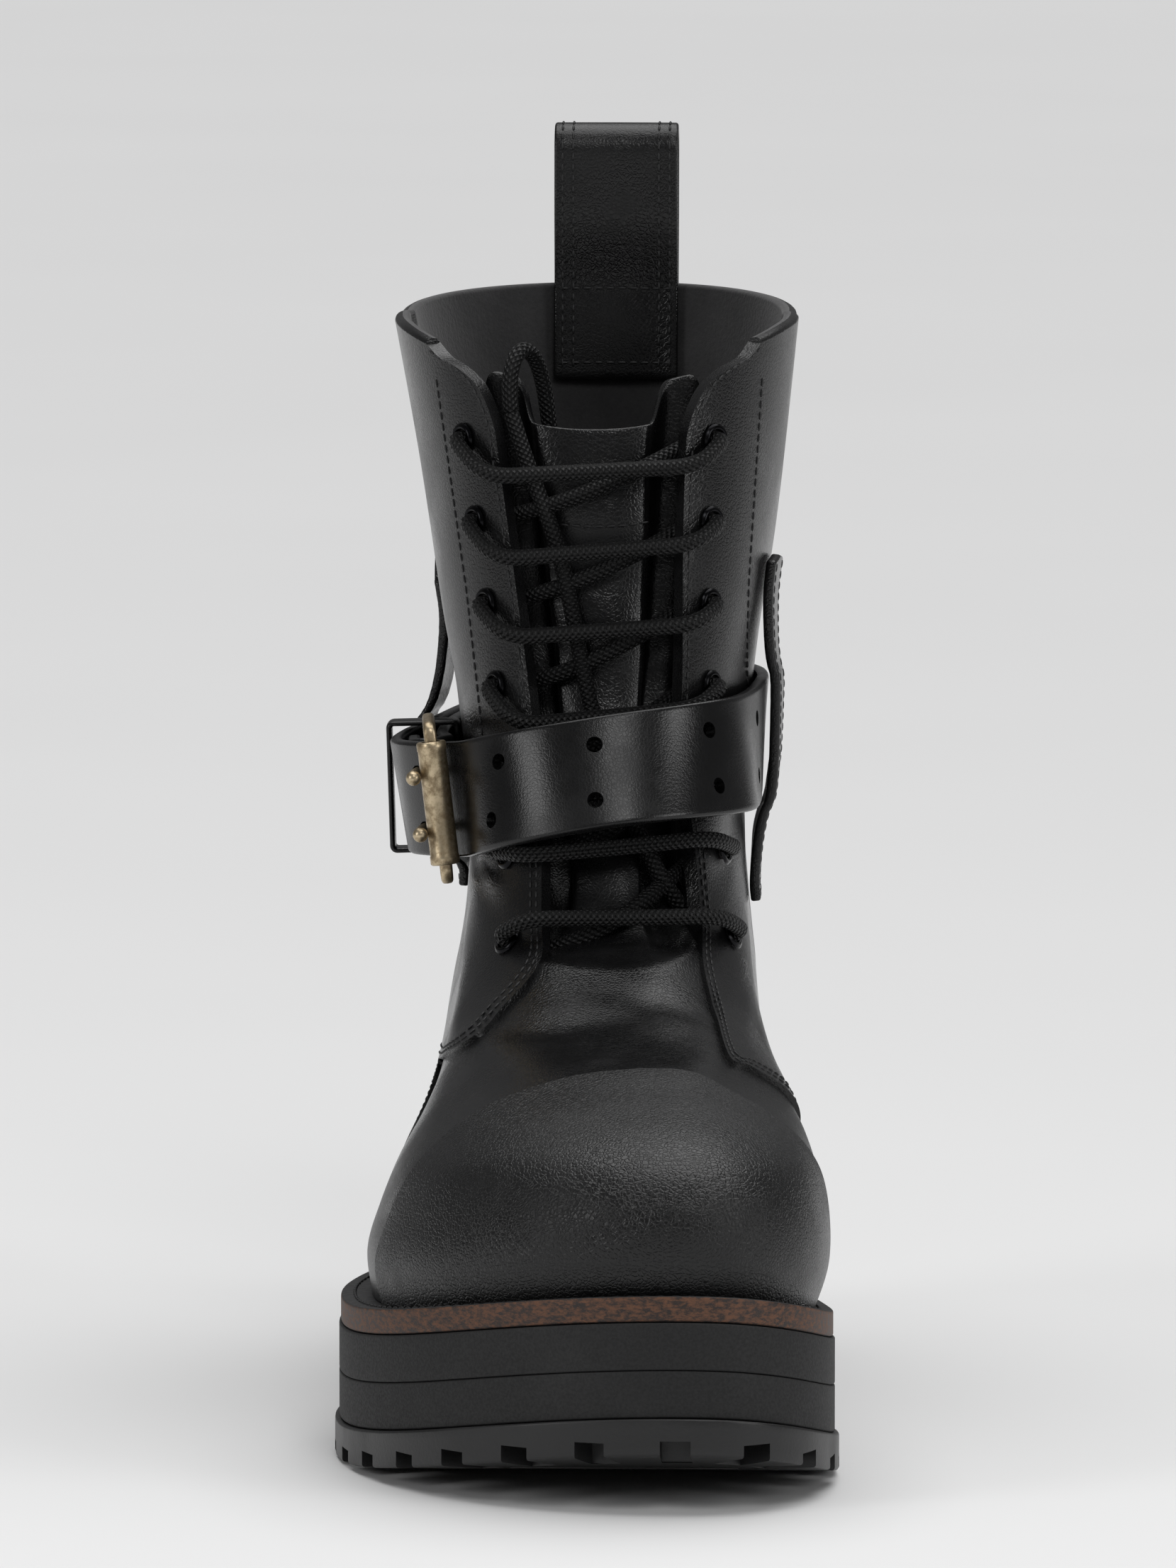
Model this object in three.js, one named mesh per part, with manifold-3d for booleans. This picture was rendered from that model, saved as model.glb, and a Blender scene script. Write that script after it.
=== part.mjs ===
// A right-foot lace-up platform boot with an ankle belt, in millimetres.
// Toe towards -Y, medial side +X, +Z up. The sole rests on z = 0 at the ball and at the heel.
import * as THREE from "three";
import { mergeVertices } from "three/addons/utils/BufferGeometryUtils.js";
import Module from "manifold-3d";

const wasm = await Module();
wasm.setup();

// Driving sizes
const soleLength = 305;
const soleWidth = 118;
const footLength = 294;
const footWidth = 104;
const collarRise = 206;
const wall = 2.4;
const overlay = 1.3;
const gap = 0.3;

const outsoleThick = 9;
const midsoleThick = 11;
const weltThick = 6;
const insoleThick = 3;
const toeSpring = 14;
const heelLift = 12;
const lugDepth = 3.4;
const lugPitch = 19;
const notchWidth = 7;
const notchReach = 13;

const laceDiameter = 3.8;
const laceClear = 0.6;
const eyeletBore = 4.6;
const eyeletFlange = 7.4;
const eyeletMetal = 0.45;
const eyeletRows = 7;

const tongueThick = 2.2;
const tongueFold = 5;

const loopWidth = 30;
const loopHeight = 40;
const loopThick = 2.3;
const loopPatch = 22;
const loopBow = 9;

const beltHeight = 27.5;
const beltThick = 3;
const beltHole = 3.9;
const beltTilt = 0.2;
const keeperWidth = 14;
const keeperThick = 2.4;

const rollerDiameter = 7;
const frameRod = 4.2;
const prongRod = 2.6;
const prongBall = 3.6;

// Levels of the sole stack above its underside
const midsoleBase = outsoleThick;
const upperMidsoleBase = midsoleBase + midsoleThick;
const weltBase = upperMidsoleBase + midsoleThick;
const stackTop = weltBase + weltThick + gap;

const clamp = (v, low, high) => Math.min(high, Math.max(low, v));
const mix = (a, b, k) => a + (b - a) * k;
const smooth = (v) => {
  const k = clamp(v, 0, 1);
  return k * k * (3 - 2 * k);
};

// Underside line of the shoe: toe spring, flat tread at the ball, rise to the heel seat.
const springStart = -0.19 * soleLength;
const liftStart = -0.065 * soleLength;
const liftEnd = 0.23 * soleLength;
function lineLift(y) {
  const toe = clamp((springStart - y) / (soleLength / 2 + springStart), 0, 1.2);
  const heel = smooth((y - liftStart) / (liftEnd - liftStart));
  return toeSpring * toe * toe + heelLift * heel;
}

// Closed plan curve of one level: half-widths at the ball, waist and rear, closed by rounded ends.
function planWidth(row, y, side) {
  const u = clamp((y - row.front) / (row.back - row.front), 0, 1);
  const medial = side > 0;
  const capFront = medial ? row.capMedial : row.capLateral;
  const capBack = row.capBack;
  const ball = medial ? row.ballMedial : row.ballLateral;
  const waist = medial ? row.waistMedial : row.waistLateral;
  const rear = medial ? row.rearMedial : row.rearLateral;
  const start = capFront;
  const end = Math.max(1 - capBack, start + 0.02);
  const middle = (start + end) / 2;
  const half =
    u < middle
      ? mix(ball, waist, smooth((u - start) / (middle - start)))
      : mix(waist, rear, smooth((u - middle) / (end - middle)));
  const power = medial ? row.roundMedial : row.roundLateral;
  const toe = Math.pow(1 - Math.pow(clamp(1 - u / capFront, 0, 1), power), 1 / power);
  const heel = Math.pow(1 - Math.pow(clamp(1 - (1 - u) / capBack, 0, 1), 2.2), 1 / 2.2);
  const nose = row.nose;
  const x = nose + (side * half - nose) * toe;
  return u > middle ? x * heel : x;
}

// Upper: a row for each level from the feather line to the collar.
// front, back: shares of footLength. rises: shares of collarRise. widths, nose: shares of footWidth / 2.
const LEVELS = {
  columns:
    "front frontRise back backRise capLateral capMedial capBack ballLateral ballMedial waistLateral waistMedial rearLateral rearMedial roundLateral roundMedial nose",
  rows: [
    [-0.496, 0.0, 0.5, 0.0, 0.33, 0.19, 0.14, 0.97, 1.0, 0.71, 0.635, 0.635, 0.635, 2.0, 2.5, 0.42],
    [-0.507, 0.049, 0.507, 0.049, 0.33, 0.2, 0.145, 0.99, 1.06, 0.74, 0.69, 0.66, 0.66, 2.0, 2.5, 0.42],
    [-0.503, 0.097, 0.51, 0.099, 0.33, 0.21, 0.15, 0.935, 1.065, 0.74, 0.71, 0.67, 0.67, 2.0, 2.5, 0.42],
    [-0.481, 0.146, 0.51, 0.15, 0.33, 0.22, 0.155, 0.855, 1.035, 0.73, 0.72, 0.66, 0.66, 2.05, 2.4, 0.41],
    [-0.442, 0.184, 0.506, 0.192, 0.33, 0.25, 0.16, 0.765, 0.965, 0.7, 0.71, 0.65, 0.65, 2.05, 2.3, 0.4],
    [-0.395, 0.214, 0.502, 0.23, 0.34, 0.28, 0.17, 0.7, 0.865, 0.68, 0.69, 0.645, 0.645, 2.05, 2.2, 0.39],
    [-0.344, 0.238, 0.496, 0.262, 0.36, 0.33, 0.19, 0.655, 0.77, 0.66, 0.675, 0.635, 0.635, 2.05, 2.15, 0.38],
    [-0.289, 0.262, 0.489, 0.295, 0.38, 0.37, 0.21, 0.625, 0.7, 0.635, 0.655, 0.625, 0.625, 2.05, 2.1, 0.36],
    [-0.194, 0.29, 0.481, 0.335, 0.42, 0.42, 0.25, 0.6, 0.655, 0.615, 0.635, 0.615, 0.615, 2.1, 2.1, 0.25],
    [-0.108, 0.328, 0.475, 0.378, 0.46, 0.46, 0.32, 0.59, 0.625, 0.606, 0.62, 0.606, 0.606, 2.1, 2.1, 0.13],
    [-0.044, 0.377, 0.471, 0.424, 0.49, 0.49, 0.42, 0.596, 0.615, 0.6, 0.615, 0.605, 0.6, 2.15, 2.15, 0.09],
    [0.007, 0.464, 0.469, 0.486, 0.5, 0.5, 0.48, 0.615, 0.62, 0.615, 0.62, 0.615, 0.61, 2.2, 2.2, 0.06],
    [0.041, 0.556, 0.469, 0.566, 0.5, 0.5, 0.48, 0.67, 0.64, 0.67, 0.64, 0.66, 0.64, 2.2, 2.2, 0.02],
    [0.06, 0.652, 0.472, 0.657, 0.5, 0.5, 0.48, 0.735, 0.695, 0.735, 0.695, 0.72, 0.69, 2.2, 2.2, 0.0],
    [0.072, 0.752, 0.476, 0.754, 0.5, 0.5, 0.48, 0.795, 0.75, 0.795, 0.75, 0.78, 0.74, 2.2, 2.2, -0.03],
    [0.083, 0.852, 0.482, 0.852, 0.5, 0.5, 0.48, 0.86, 0.795, 0.86, 0.795, 0.845, 0.785, 2.2, 2.2, -0.05],
    [0.095, 0.975, 0.49, 1.0, 0.5, 0.5, 0.48, 0.96, 0.85, 0.96, 0.85, 0.94, 0.84, 2.2, 2.2, -0.06],
  ],
};
const lengthColumns = ["front", "back"];
const riseColumns = ["frontRise", "backRise"];
const widthColumns = ["ballLateral", "ballMedial", "waistLateral", "waistMedial", "rearLateral", "rearMedial", "nose"];
const columnNames = LEVELS.columns.split(" ");
const topLevel = LEVELS.rows.length - 1;

function scaleOf(column) {
  if (lengthColumns.includes(column)) return footLength;
  if (riseColumns.includes(column)) return collarRise;
  return widthColumns.includes(column) ? footWidth / 2 : 1;
}

// The row at any level, by a smooth curve through the rows of the table.
function levelRow(level) {
  const i = clamp(Math.floor(level), 0, topLevel - 1);
  const f = clamp(level, 0, topLevel) - i;
  const at = (n, c) => LEVELS.rows[clamp(n, 0, topLevel)][c];
  const row = {};
  columnNames.forEach((name, c) => {
    const [a, b, d, e] = [at(i - 1, c), at(i, c), at(i + 1, c), at(i + 2, c)];
    const slopeB = (d - a) / 2;
    const slopeD = (e - b) / 2;
    const f2 = f * f;
    const f3 = f2 * f;
    const value =
      (2 * f3 - 3 * f2 + 1) * b + (f3 - 2 * f2 + f) * slopeB + (3 * f2 - 2 * f3) * d + (f3 - f2) * slopeD;
    row[name] = value * scaleOf(name);
  });
  return row;
}

// Point of the upper's outer face. turn: 0 at the front line, 1 at the back seam, + medial, - lateral.
function facePoint(level, turn) {
  const row = levelRow(level);
  const angle = Math.PI * Math.abs(turn);
  const along = (1 - Math.cos(angle)) / 2;
  const y = mix(row.front, row.back, along);
  const x = planWidth(row, y, turn < 0 ? -1 : 1);
  const z = stackTop + lineLift(y) + mix(row.frontRise, row.backRise, along);
  return new THREE.Vector3(x, y, z);
}

function faceNormal(level, turn) {
  const stepLevel = 0.12;
  const stepTurn = 0.018;
  const low = facePoint(Math.max(0, level - stepLevel), turn);
  const high = facePoint(Math.min(topLevel, level + stepLevel), turn);
  const wrap = (v) => (v > 1 ? v - 2 : v < -1 ? v + 2 : v);
  const before = facePoint(level, wrap(turn - stepTurn));
  const after = facePoint(level, wrap(turn + stepTurn));
  const normal = after.sub(before).cross(high.sub(low)).normalize();
  normal.z *= smooth(level); // the wall stands straight on the welt
  return normal.normalize();
}

// Point at a distance out of (+) or into (-) the leather's outer face.
function skin(level, turn, out = 0) {
  const face = facePoint(level, turn);
  const point = face.clone().addScaledVector(faceNormal(level, turn), out);
  point.z += (lineLift(point.y) - lineLift(face.y)) * (1 - smooth(level)); // keeps to the welt
  return point;
}

// Level at which the face reaches a height, for one turn.
function levelAt(z, turn) {
  let low = 0;
  let high = topLevel;
  for (let i = 0; i < 30; i++) {
    const middle = (low + high) / 2;
    if (facePoint(middle, turn).z < z) low = middle;
    else high = middle;
  }
  return (low + high) / 2;
}

// Level and turn of the point of the front half with a given x and z.
function frontSpot(x, z) {
  let low = -0.5;
  let high = 0.5;
  for (let i = 0; i < 30; i++) {
    const middle = (low + high) / 2;
    if (facePoint(levelAt(z, middle), middle).x < x) low = middle;
    else high = middle;
  }
  const turn = (low + high) / 2;
  return { level: levelAt(z, turn), turn };
}

// Closed solids from grids of points
function meshOf(points, triangles) {
  const geometry = new THREE.BufferGeometry();
  geometry.setAttribute("position", new THREE.Float32BufferAttribute(points.flatMap((p) => [p.x, p.y, p.z]), 3));
  geometry.setIndex(triangles.flat());
  return geometry;
}

function bare(geometry) {
  const copy = geometry.clone();
  copy.deleteAttribute("normal");
  copy.deleteAttribute("uv");
  return mergeVertices(copy, 1e-4);
}

function solidOf(geometry) {
  const merged = bare(geometry);
  return new wasm.Manifold(
    new wasm.Mesh({
      numProp: 3,
      vertProperties: merged.attributes.position.array,
      triVerts: new Uint32Array(merged.index.array),
    }),
  );
}

function geometryOf(solid) {
  const mesh = solid.getMesh();
  const geometry = new THREE.BufferGeometry();
  geometry.setAttribute("position", new THREE.BufferAttribute(new Float32Array(mesh.vertProperties), 3));
  geometry.setIndex(new THREE.BufferAttribute(new Uint32Array(mesh.triVerts), 1));
  return geometry;
}

// Sheet between two faces given as grids of rows; `round` closes each row on itself.
function sheet(outer, inner, round = false) {
  const rows = outer.length;
  const cols = outer[0].length;
  const points = [...outer.flat(), ...inner.flat()];
  const half = rows * cols;
  const at = (i, j, side) => side * half + i * cols + (j % cols);
  const triangles = [];
  const quad = (a, b, c, d) => triangles.push([a, b, c], [a, c, d]);
  const span = round ? cols : cols - 1;
  for (let i = 0; i < rows - 1; i++) {
    for (let j = 0; j < span; j++) {
      quad(at(i, j, 0), at(i, j + 1, 0), at(i + 1, j + 1, 0), at(i + 1, j, 0));
      quad(at(i, j, 1), at(i + 1, j, 1), at(i + 1, j + 1, 1), at(i, j + 1, 1));
    }
  }
  for (let j = 0; j < span; j++) {
    quad(at(0, j, 1), at(0, j + 1, 1), at(0, j + 1, 0), at(0, j, 0));
    quad(at(rows - 1, j, 0), at(rows - 1, j + 1, 0), at(rows - 1, j + 1, 1), at(rows - 1, j, 1));
  }
  if (!round) {
    for (let i = 0; i < rows - 1; i++) {
      quad(at(i, 0, 0), at(i + 1, 0, 0), at(i + 1, 0, 1), at(i, 0, 1));
      quad(at(i, cols - 1, 1), at(i + 1, cols - 1, 1), at(i + 1, cols - 1, 0), at(i, cols - 1, 0));
    }
  }
  return facingOut(meshOf(points, triangles));
}

// Turns a mesh whose faces point inwards.
function facingOut(geometry) {
  const p = geometry.attributes.position;
  const index = geometry.index.array;
  let volume = 0;
  const [a, b, c] = [new THREE.Vector3(), new THREE.Vector3(), new THREE.Vector3()];
  for (let i = 0; i < index.length; i += 3) {
    a.fromBufferAttribute(p, index[i]);
    b.fromBufferAttribute(p, index[i + 1]);
    c.fromBufferAttribute(p, index[i + 2]);
    volume += a.dot(b.cross(c));
  }
  if (volume < 0) {
    for (let i = 0; i < index.length; i += 3) [index[i + 1], index[i + 2]] = [index[i + 2], index[i + 1]];
  }
  return geometry;
}

const grid = (rows, cols, point) =>
  Array.from({ length: rows }, (_, i) => Array.from({ length: cols }, (_, j) => point(i, j)));

// Colours of the finishes
const finish = (color, roughness, metalness = 0) => new THREE.MeshStandardMaterial({ color, roughness, metalness });
const leather = finish(0x262627, 0.55);
const beltLeather = finish(0x1f1f20, 0.5);
const foam = finish(0x1b1b1c, 0.9);
const rubber = finish(0x2d2d2e, 0.7);
const weltBrown = finish(0x4a3122, 0.75);
const lining = finish(0x3a3a3b, 0.95);
const cord = finish(0x121213, 0.85);
const blackMetal = finish(0x0c0c0d, 0.35, 0.9);
const brass = finish(0x8f7c55, 0.4, 1);

const boot = new THREE.Group();
function piece(name, geometry, material) {
  const mesh = new THREE.Mesh(geometry, material);
  mesh.name = name;
  boot.add(mesh);
  return mesh;
}

// Sole
const soleRow = {
  front: -soleLength / 2,
  back: soleLength / 2,
  capLateral: 0.33,
  capMedial: 0.19,
  capBack: 0.145,
  ballLateral: 0.5 * soleWidth,
  ballMedial: 0.5 * soleWidth,
  waistLateral: 0.375 * soleWidth,
  waistMedial: 0.345 * soleWidth,
  rearLateral: 0.335 * soleWidth,
  rearMedial: 0.335 * soleWidth,
  roundLateral: 2.0,
  roundMedial: 2.5,
  nose: 0.195 * soleWidth,
};

// Row of a plan drawn in from its edge by a distance.
function drawnIn(row, by) {
  const inner = { ...row, front: row.front + by, back: row.back - by };
  for (const name of widthColumns) if (name !== "nose") inner[name] = row[name] - by;
  return inner;
}

// Slab of the sole between two heights that both follow the underside line, from y0 to y1.
function slab(row, low, high, y0 = row.front, y1 = row.back, steps = 34) {
  const bottom = [];
  const top = [];
  for (let i = 0; i <= steps; i++) {
    const roundFront = y0 <= row.front;
    const roundBack = y1 >= row.back;
    const k = i / steps;
    let along = k;
    if (roundFront && roundBack) along = (1 - Math.cos(Math.PI * k)) / 2;
    else if (roundFront) along = 1 - Math.cos((Math.PI / 2) * k);
    else if (roundBack) along = Math.sin((Math.PI / 2) * k);
    const y = mix(y0, y1, along);
    const closed = (roundFront && i === 0) || (roundBack && i === steps);
    const left = planWidth(row, y, -1);
    const right = planWidth(row, y, 1);
    const nib = closed ? 0.05 : 0;
    const at = (x, z) => new THREE.Vector3(x, y, z);
    bottom.push([at(left - nib, low(y)), at(right + nib, low(y))]);
    top.push([at(left - nib, high(y)), at(right + nib, high(y))]);
  }
  return sheet(top, bottom);
}

const lifted = (height) => (y) => lineLift(y) + height;

// Box with its middle at a point, turned about Z.
function block(width, depth, height, centre, turn = 0) {
  const box = new THREE.BoxGeometry(width, depth, height);
  box.rotateZ(turn);
  box.translate(centre.x, centre.y, centre.z);
  return box;
}

// Points at even steps along the edge of the sole, with the direction into it.
function edgeSpots(row, y0, y1, pitch) {
  const track = [];
  const count = 240;
  for (const side of [-1, 1]) {
    for (let i = 0; i <= count; i++) {
      const k = side < 0 ? 1 - i / count : i / count;
      const y = mix(row.front, row.back, (1 - Math.cos(Math.PI * k)) / 2);
      track.push(new THREE.Vector3(planWidth(row, y, side), y, 0));
    }
  }
  const nose = count;
  const spots = [];
  for (const way of [-1, 1]) {
    let due = 0;
    for (let i = nose; i > 0 && i < track.length - 1; i += way) {
      const next = track[i + way];
      due += next.distanceTo(track[i]);
      if (due >= pitch) {
        due -= pitch;
        const tangent = next.clone().sub(track[i]).normalize();
        if (next.y >= y0 && next.y <= y1) spots.push({ at: next, turn: Math.atan2(tangent.y, tangent.x) });
      }
    }
  }
  const ahead = track[nose + 1].clone().sub(track[nose - 1]);
  if (y0 <= row.front) spots.push({ at: track[nose].clone(), turn: Math.atan2(ahead.y, ahead.x) });
  return spots;
}

// Rubber plate with notches between the lugs of its edge and grooves across its tread.
function treadPlate(y0, y1, low, high, grooves) {
  let plate = solidOf(slab(soleRow, low, high, y0, y1, 30));
  const cut = (box) => {
    plate = plate.subtract(solidOf(box));
  };
  const depth = lugDepth * 2;
  for (const { at, turn } of edgeSpots(soleRow, y0, y1, lugPitch)) {
    cut(block(notchWidth, 2 * notchReach, depth, new THREE.Vector3(at.x, at.y, low(at.y)), turn));
  }
  for (const y of grooves) {
    const left = planWidth(soleRow, y, -1) + notchReach + notchWidth;
    const right = planWidth(soleRow, y, 1) - notchReach - notchWidth;
    cut(block(right - left, notchWidth, depth, new THREE.Vector3((left + right) / 2, y, low(y))));
  }
  return geometryOf(plate);
}

const archEnd = 0.12 * soleLength;
const heelBreast = 0.165 * soleLength;
const steps = (from, to, pitch) =>
  Array.from({ length: Math.max(0, Math.floor((to - from) / pitch)) + 1 }, (_, i) => from + i * pitch);
piece(
  "outsole_front",
  treadPlate(-soleLength / 2, archEnd, lifted(0), lifted(outsoleThick - gap), steps(-0.4 * soleLength, 0.09 * soleLength, lugPitch)),
  rubber,
);
const flat = (height) => () => height;
piece(
  "outsole_heel",
  treadPlate(heelBreast, soleLength / 2, flat(0), flat(outsoleThick - gap), steps(heelBreast + lugPitch, 0.42 * soleLength, lugPitch)),
  rubber,
);
const bodyRow = drawnIn(soleRow, 1);
piece(
  "heel_block",
  slab(bodyRow, flat(outsoleThick), (y) => lineLift(y) + midsoleBase - gap, heelBreast + 1, bodyRow.back, 18),
  foam,
);
piece("midsole_lower", slab(bodyRow, lifted(midsoleBase), lifted(upperMidsoleBase - gap)), foam);
piece("midsole_upper", slab(bodyRow, lifted(upperMidsoleBase), lifted(weltBase - gap)), foam);
const weltRow = drawnIn(soleRow, 1.4);
piece("welt", slab(weltRow, lifted(weltBase), lifted(weltBase + weltThick)), weltBrown);
const insoleRow = drawnIn(levelRow(0), wall + 0.6);
piece("insole", slab(insoleRow, lifted(stackTop), lifted(stackTop + insoleThick)), lining);

// Upper: wall of the last's form, with the toe cap and the quarters as a second layer on it.
const levelCount = 23;
const turnCount = 42;
const turnOf = (j) => (2 * j) / turnCount - 1 + 1 / turnCount;
const levelOf = (i) => (topLevel * i) / (levelCount - 1);
function shell(inside, outside) {
  const face = (out) => grid(levelCount, turnCount, (i, j) => skin(levelOf(i), turnOf(j), out));
  return solidOf(sheet(face(outside), face(inside), true));
}

// Prism along Y from an outline in x and z.
function throughFront(outline, y0, y1) {
  const shape = new THREE.Shape(outline.map(([x, z]) => new THREE.Vector2(x, z)));
  const prism = new THREE.ExtrudeGeometry(shape, { depth: y1 - y0, bevelEnabled: false });
  prism.rotateX(Math.PI / 2);
  prism.translate(0, y1, 0);
  return solidOf(prism);
}

// Edges of the facings at heights that are shares of the collar's rise; x as shares of footWidth / 2.
const facingEdges = {
  columns: "rise lateral medial",
  rows: [
    [0.345, -0.24, 0.47],
    [0.4, -0.235, 0.45],
    [0.56, -0.27, 0.365],
    [0.74, -0.36, 0.36],
    [0.9, -0.45, 0.37],
    [0.945, -0.48, 0.39],
    [0.985, -0.55, 0.46],
    [1.005, -0.64, 0.56],
    [1.018, -0.74, 0.66],
    [1.03, -0.86, 0.77],
    [1.2, -0.88, 0.79],
  ],
};
// How the lower ends of the facings turn outwards over the vamp.
const facingFoot = {
  columns: "rise lateral medial",
  rows: [
    [0.22, -0.72, 0.78],
    [0.265, -0.56, 0.64],
    [0.3, -0.4, 0.54],
  ],
};
const heightOf = (rise) => stackTop + rise * collarRise;
const sideX = (share) => (share * footWidth) / 2;
function throatOutline(rows) {
  const lateral = rows.map(([rise, x]) => [sideX(x), heightOf(rise)]);
  const medial = rows.map(([rise, , x]) => [sideX(x), heightOf(rise)]);
  return [...lateral, ...medial.reverse()];
}
const throatDepth = 0.21 * footLength;
const throat = throughFront(throatOutline(facingEdges.rows), -footLength / 2, throatDepth);
const facingFlare = throughFront(
  throatOutline([...facingFoot.rows, facingEdges.rows[0], facingEdges.rows[1]]),
  -footLength,
  0,
);

const capEdge = -0.289 * footLength;
const quarterEdge = -0.06 * footLength;
const wholeShell = shell(-wall, 0);
const outerLayer = shell(-wall / 2, overlay);
const far = footLength * 2;
const capBlock = solidOf(block(far, far, far, new THREE.Vector3(0, capEdge - far / 2, 0)));
const quarterBox = block(far, far, far, new THREE.Vector3(0, far / 2, 0));
quarterBox.rotateX(-0.25);
quarterBox.translate(0, quarterEdge, stackTop + 0.2 * collarRise);
const quarters = outerLayer.intersect(solidOf(quarterBox)).subtract(throat).subtract(facingFlare);
const toeCap = outerLayer.intersect(capBlock);

// Eyelets: rows of two, with their spots on the facings.
const eyeletRise = { first: 0.925, last: 0.362 };
const facingInset = { lateral: 7.5, medial: 6 };
function edgeAt(rise, column) {
  const rows = facingEdges.rows;
  for (let i = 1; i < rows.length; i++) {
    if (rise <= rows[i][0]) {
      const k = (rise - rows[i - 1][0]) / (rows[i][0] - rows[i - 1][0]);
      return sideX(mix(rows[i - 1][column], rows[i][column], clamp(k, 0, 1)));
    }
  }
  return sideX(rows.at(-1)[column]);
}
function eyeletSpot(row, side) {
  const k = (row - 1) / (eyeletRows - 1);
  const rise = mix(eyeletRise.first, eyeletRise.last, k);
  const x = side > 0 ? edgeAt(rise, 2) + facingInset.medial : edgeAt(rise, 1) - facingInset.lateral;
  const { level, turn } = frontSpot(x, heightOf(rise));
  return { at: skin(level, turn), normal: faceNormal(level, turn) };
}
const eyelets = [];
for (let row = 1; row <= eyeletRows; row++) {
  for (const side of [-1, 1]) eyelets.push({ row, side, ...eyeletSpot(row, side) });
}
function turned(geometry, at, direction) {
  const turn = new THREE.Quaternion().setFromUnitVectors(new THREE.Vector3(0, 1, 0), direction);
  geometry.applyQuaternion(turn);
  geometry.translate(at.x, at.y, at.z);
  return geometry;
}
const eyeletSides = 8;
const eyeletFace = overlay + 2 * gap;
const eyeletLip = 0.7;
const barrel = eyeletBore / 2 + eyeletMetal;
let upper = wholeShell.add(quarters).add(toeCap).subtract(throat);
for (const { at, normal } of eyelets) {
  const drill = new THREE.CylinderGeometry(barrel + gap, barrel + gap, 12, eyeletSides);
  upper = upper.subtract(solidOf(turned(drill, at, normal)));
}
const largest = (solid) => solid.decompose().reduce((a, b) => (b.volume() > a.volume() ? b : a));
piece("upper", geometryOf(largest(upper)), leather);

function eyeletRing() {
  const face = eyeletFace;
  const profile = [
    [eyeletBore / 2, -wall],
    [barrel, -wall],
    [barrel, face],
    [eyeletFlange / 2, face],
    [eyeletFlange / 2 - 0.6, face + eyeletLip],
    [eyeletBore / 2, face + eyeletLip],
    [eyeletBore / 2, -wall],
  ];
  return new THREE.LatheGeometry(profile.map(([r, h]) => new THREE.Vector2(r, h)), eyeletSides);
}
for (const { row, side, at, normal } of eyelets) {
  const name = "eyelet_" + (side > 0 ? "medial_" : "lateral_") + row;
  piece(name, turned(eyeletRing(), at, normal), blackMetal);
}

// Tongue: a folded sheet behind the throat.
const tongueSpan = 0.27;
const tongueLevels = { low: 8.1, high: 15.55 };
function tongueFace(out) {
  const across = 14;
  const up = 12;
  return grid(up + 1, across + 1, (i, j) => {
    const side = (2 * j) / across - 1;
    const wing = smooth((Math.abs(side) - 0.42) / 0.25);
    const high = tongueLevels.high + 0.3 * wing;
    const level = mix(tongueLevels.low, high, i / up);
    const leave = smooth((level - tongueLevels.low) / 1.7);
    const room = mix(gap + 0.3, laceDiameter + 3.2 * laceClear, leave);
    const fold = tongueFold * leave * smooth(1 - Math.abs(Math.abs(side) - 0.62) / 0.26);
    return skin(level, side * tongueSpan, -wall - room - fold - out);
  });
}
piece("tongue", sheet(tongueFace(0), tongueFace(tongueThick)), leather);


// Round rod through points, with flat ends.
function rod(points, radius, sides = 6) {
  const rings = [];
  let across = new THREE.Vector3(0, 0, 1);
  for (let i = 0; i < points.length; i++) {
    const ahead = points[Math.min(i + 1, points.length - 1)];
    const behind = points[Math.max(i - 1, 0)];
    const along = ahead.clone().sub(behind).normalize();
    if (i === 0 && Math.abs(along.z) > 0.9) across = new THREE.Vector3(1, 0, 0);
    across = across.clone().addScaledVector(along, -across.dot(along)).normalize();
    const other = along.clone().cross(across);
    const ring = [];
    for (let j = 0; j < sides; j++) {
      const angle = (2 * Math.PI * j) / sides;
      const out = across.clone().multiplyScalar(Math.cos(angle)).addScaledVector(other, Math.sin(angle));
      ring.push(points[i].clone().addScaledVector(out, radius));
    }
    rings.push(ring);
  }
  const flatPoints = rings.flat();
  const triangles = [];
  for (let i = 0; i < rings.length - 1; i++) {
    for (let j = 0; j < sides; j++) {
      const k = (j + 1) % sides;
      const [a, b] = [i * sides + j, i * sides + k];
      triangles.push([a, b, b + sides], [a, b + sides, a + sides]);
    }
  }
  const last = (rings.length - 1) * sides;
  for (let j = 1; j < sides - 1; j++) triangles.push([0, j + 1, j], [last, last + j, last + j + 1]);
  return facingOut(meshOf(flatPoints, triangles));
}

// Value of a table with named columns at a key of its first column, straight between the rows.
function tableAt(rows, key) {
  let i = 1;
  while (i < rows.length - 1 && key > rows[i][0]) i++;
  const [low, high] = [rows[i - 1], rows[i]];
  const k = clamp((key - low[0]) / (high[0] - low[0]), 0, 1);
  return low.map((value, c) => mix(value, high[c], k));
}

// Laces
const laceRadius = laceDiameter / 2;
const eyeletTop = eyeletFace + eyeletLip;
const laceBend = 0.75 * laceRadius;
const barHeight = eyeletTop + gap + laceRadius;
const behindWall = -wall - laceClear - laceRadius;
const barLow = behindWall + laceDiameter + 4 * gap;
const eyeletAt = (row, side) => eyelets.find((e) => e.row === row && e.side === side);

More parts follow.
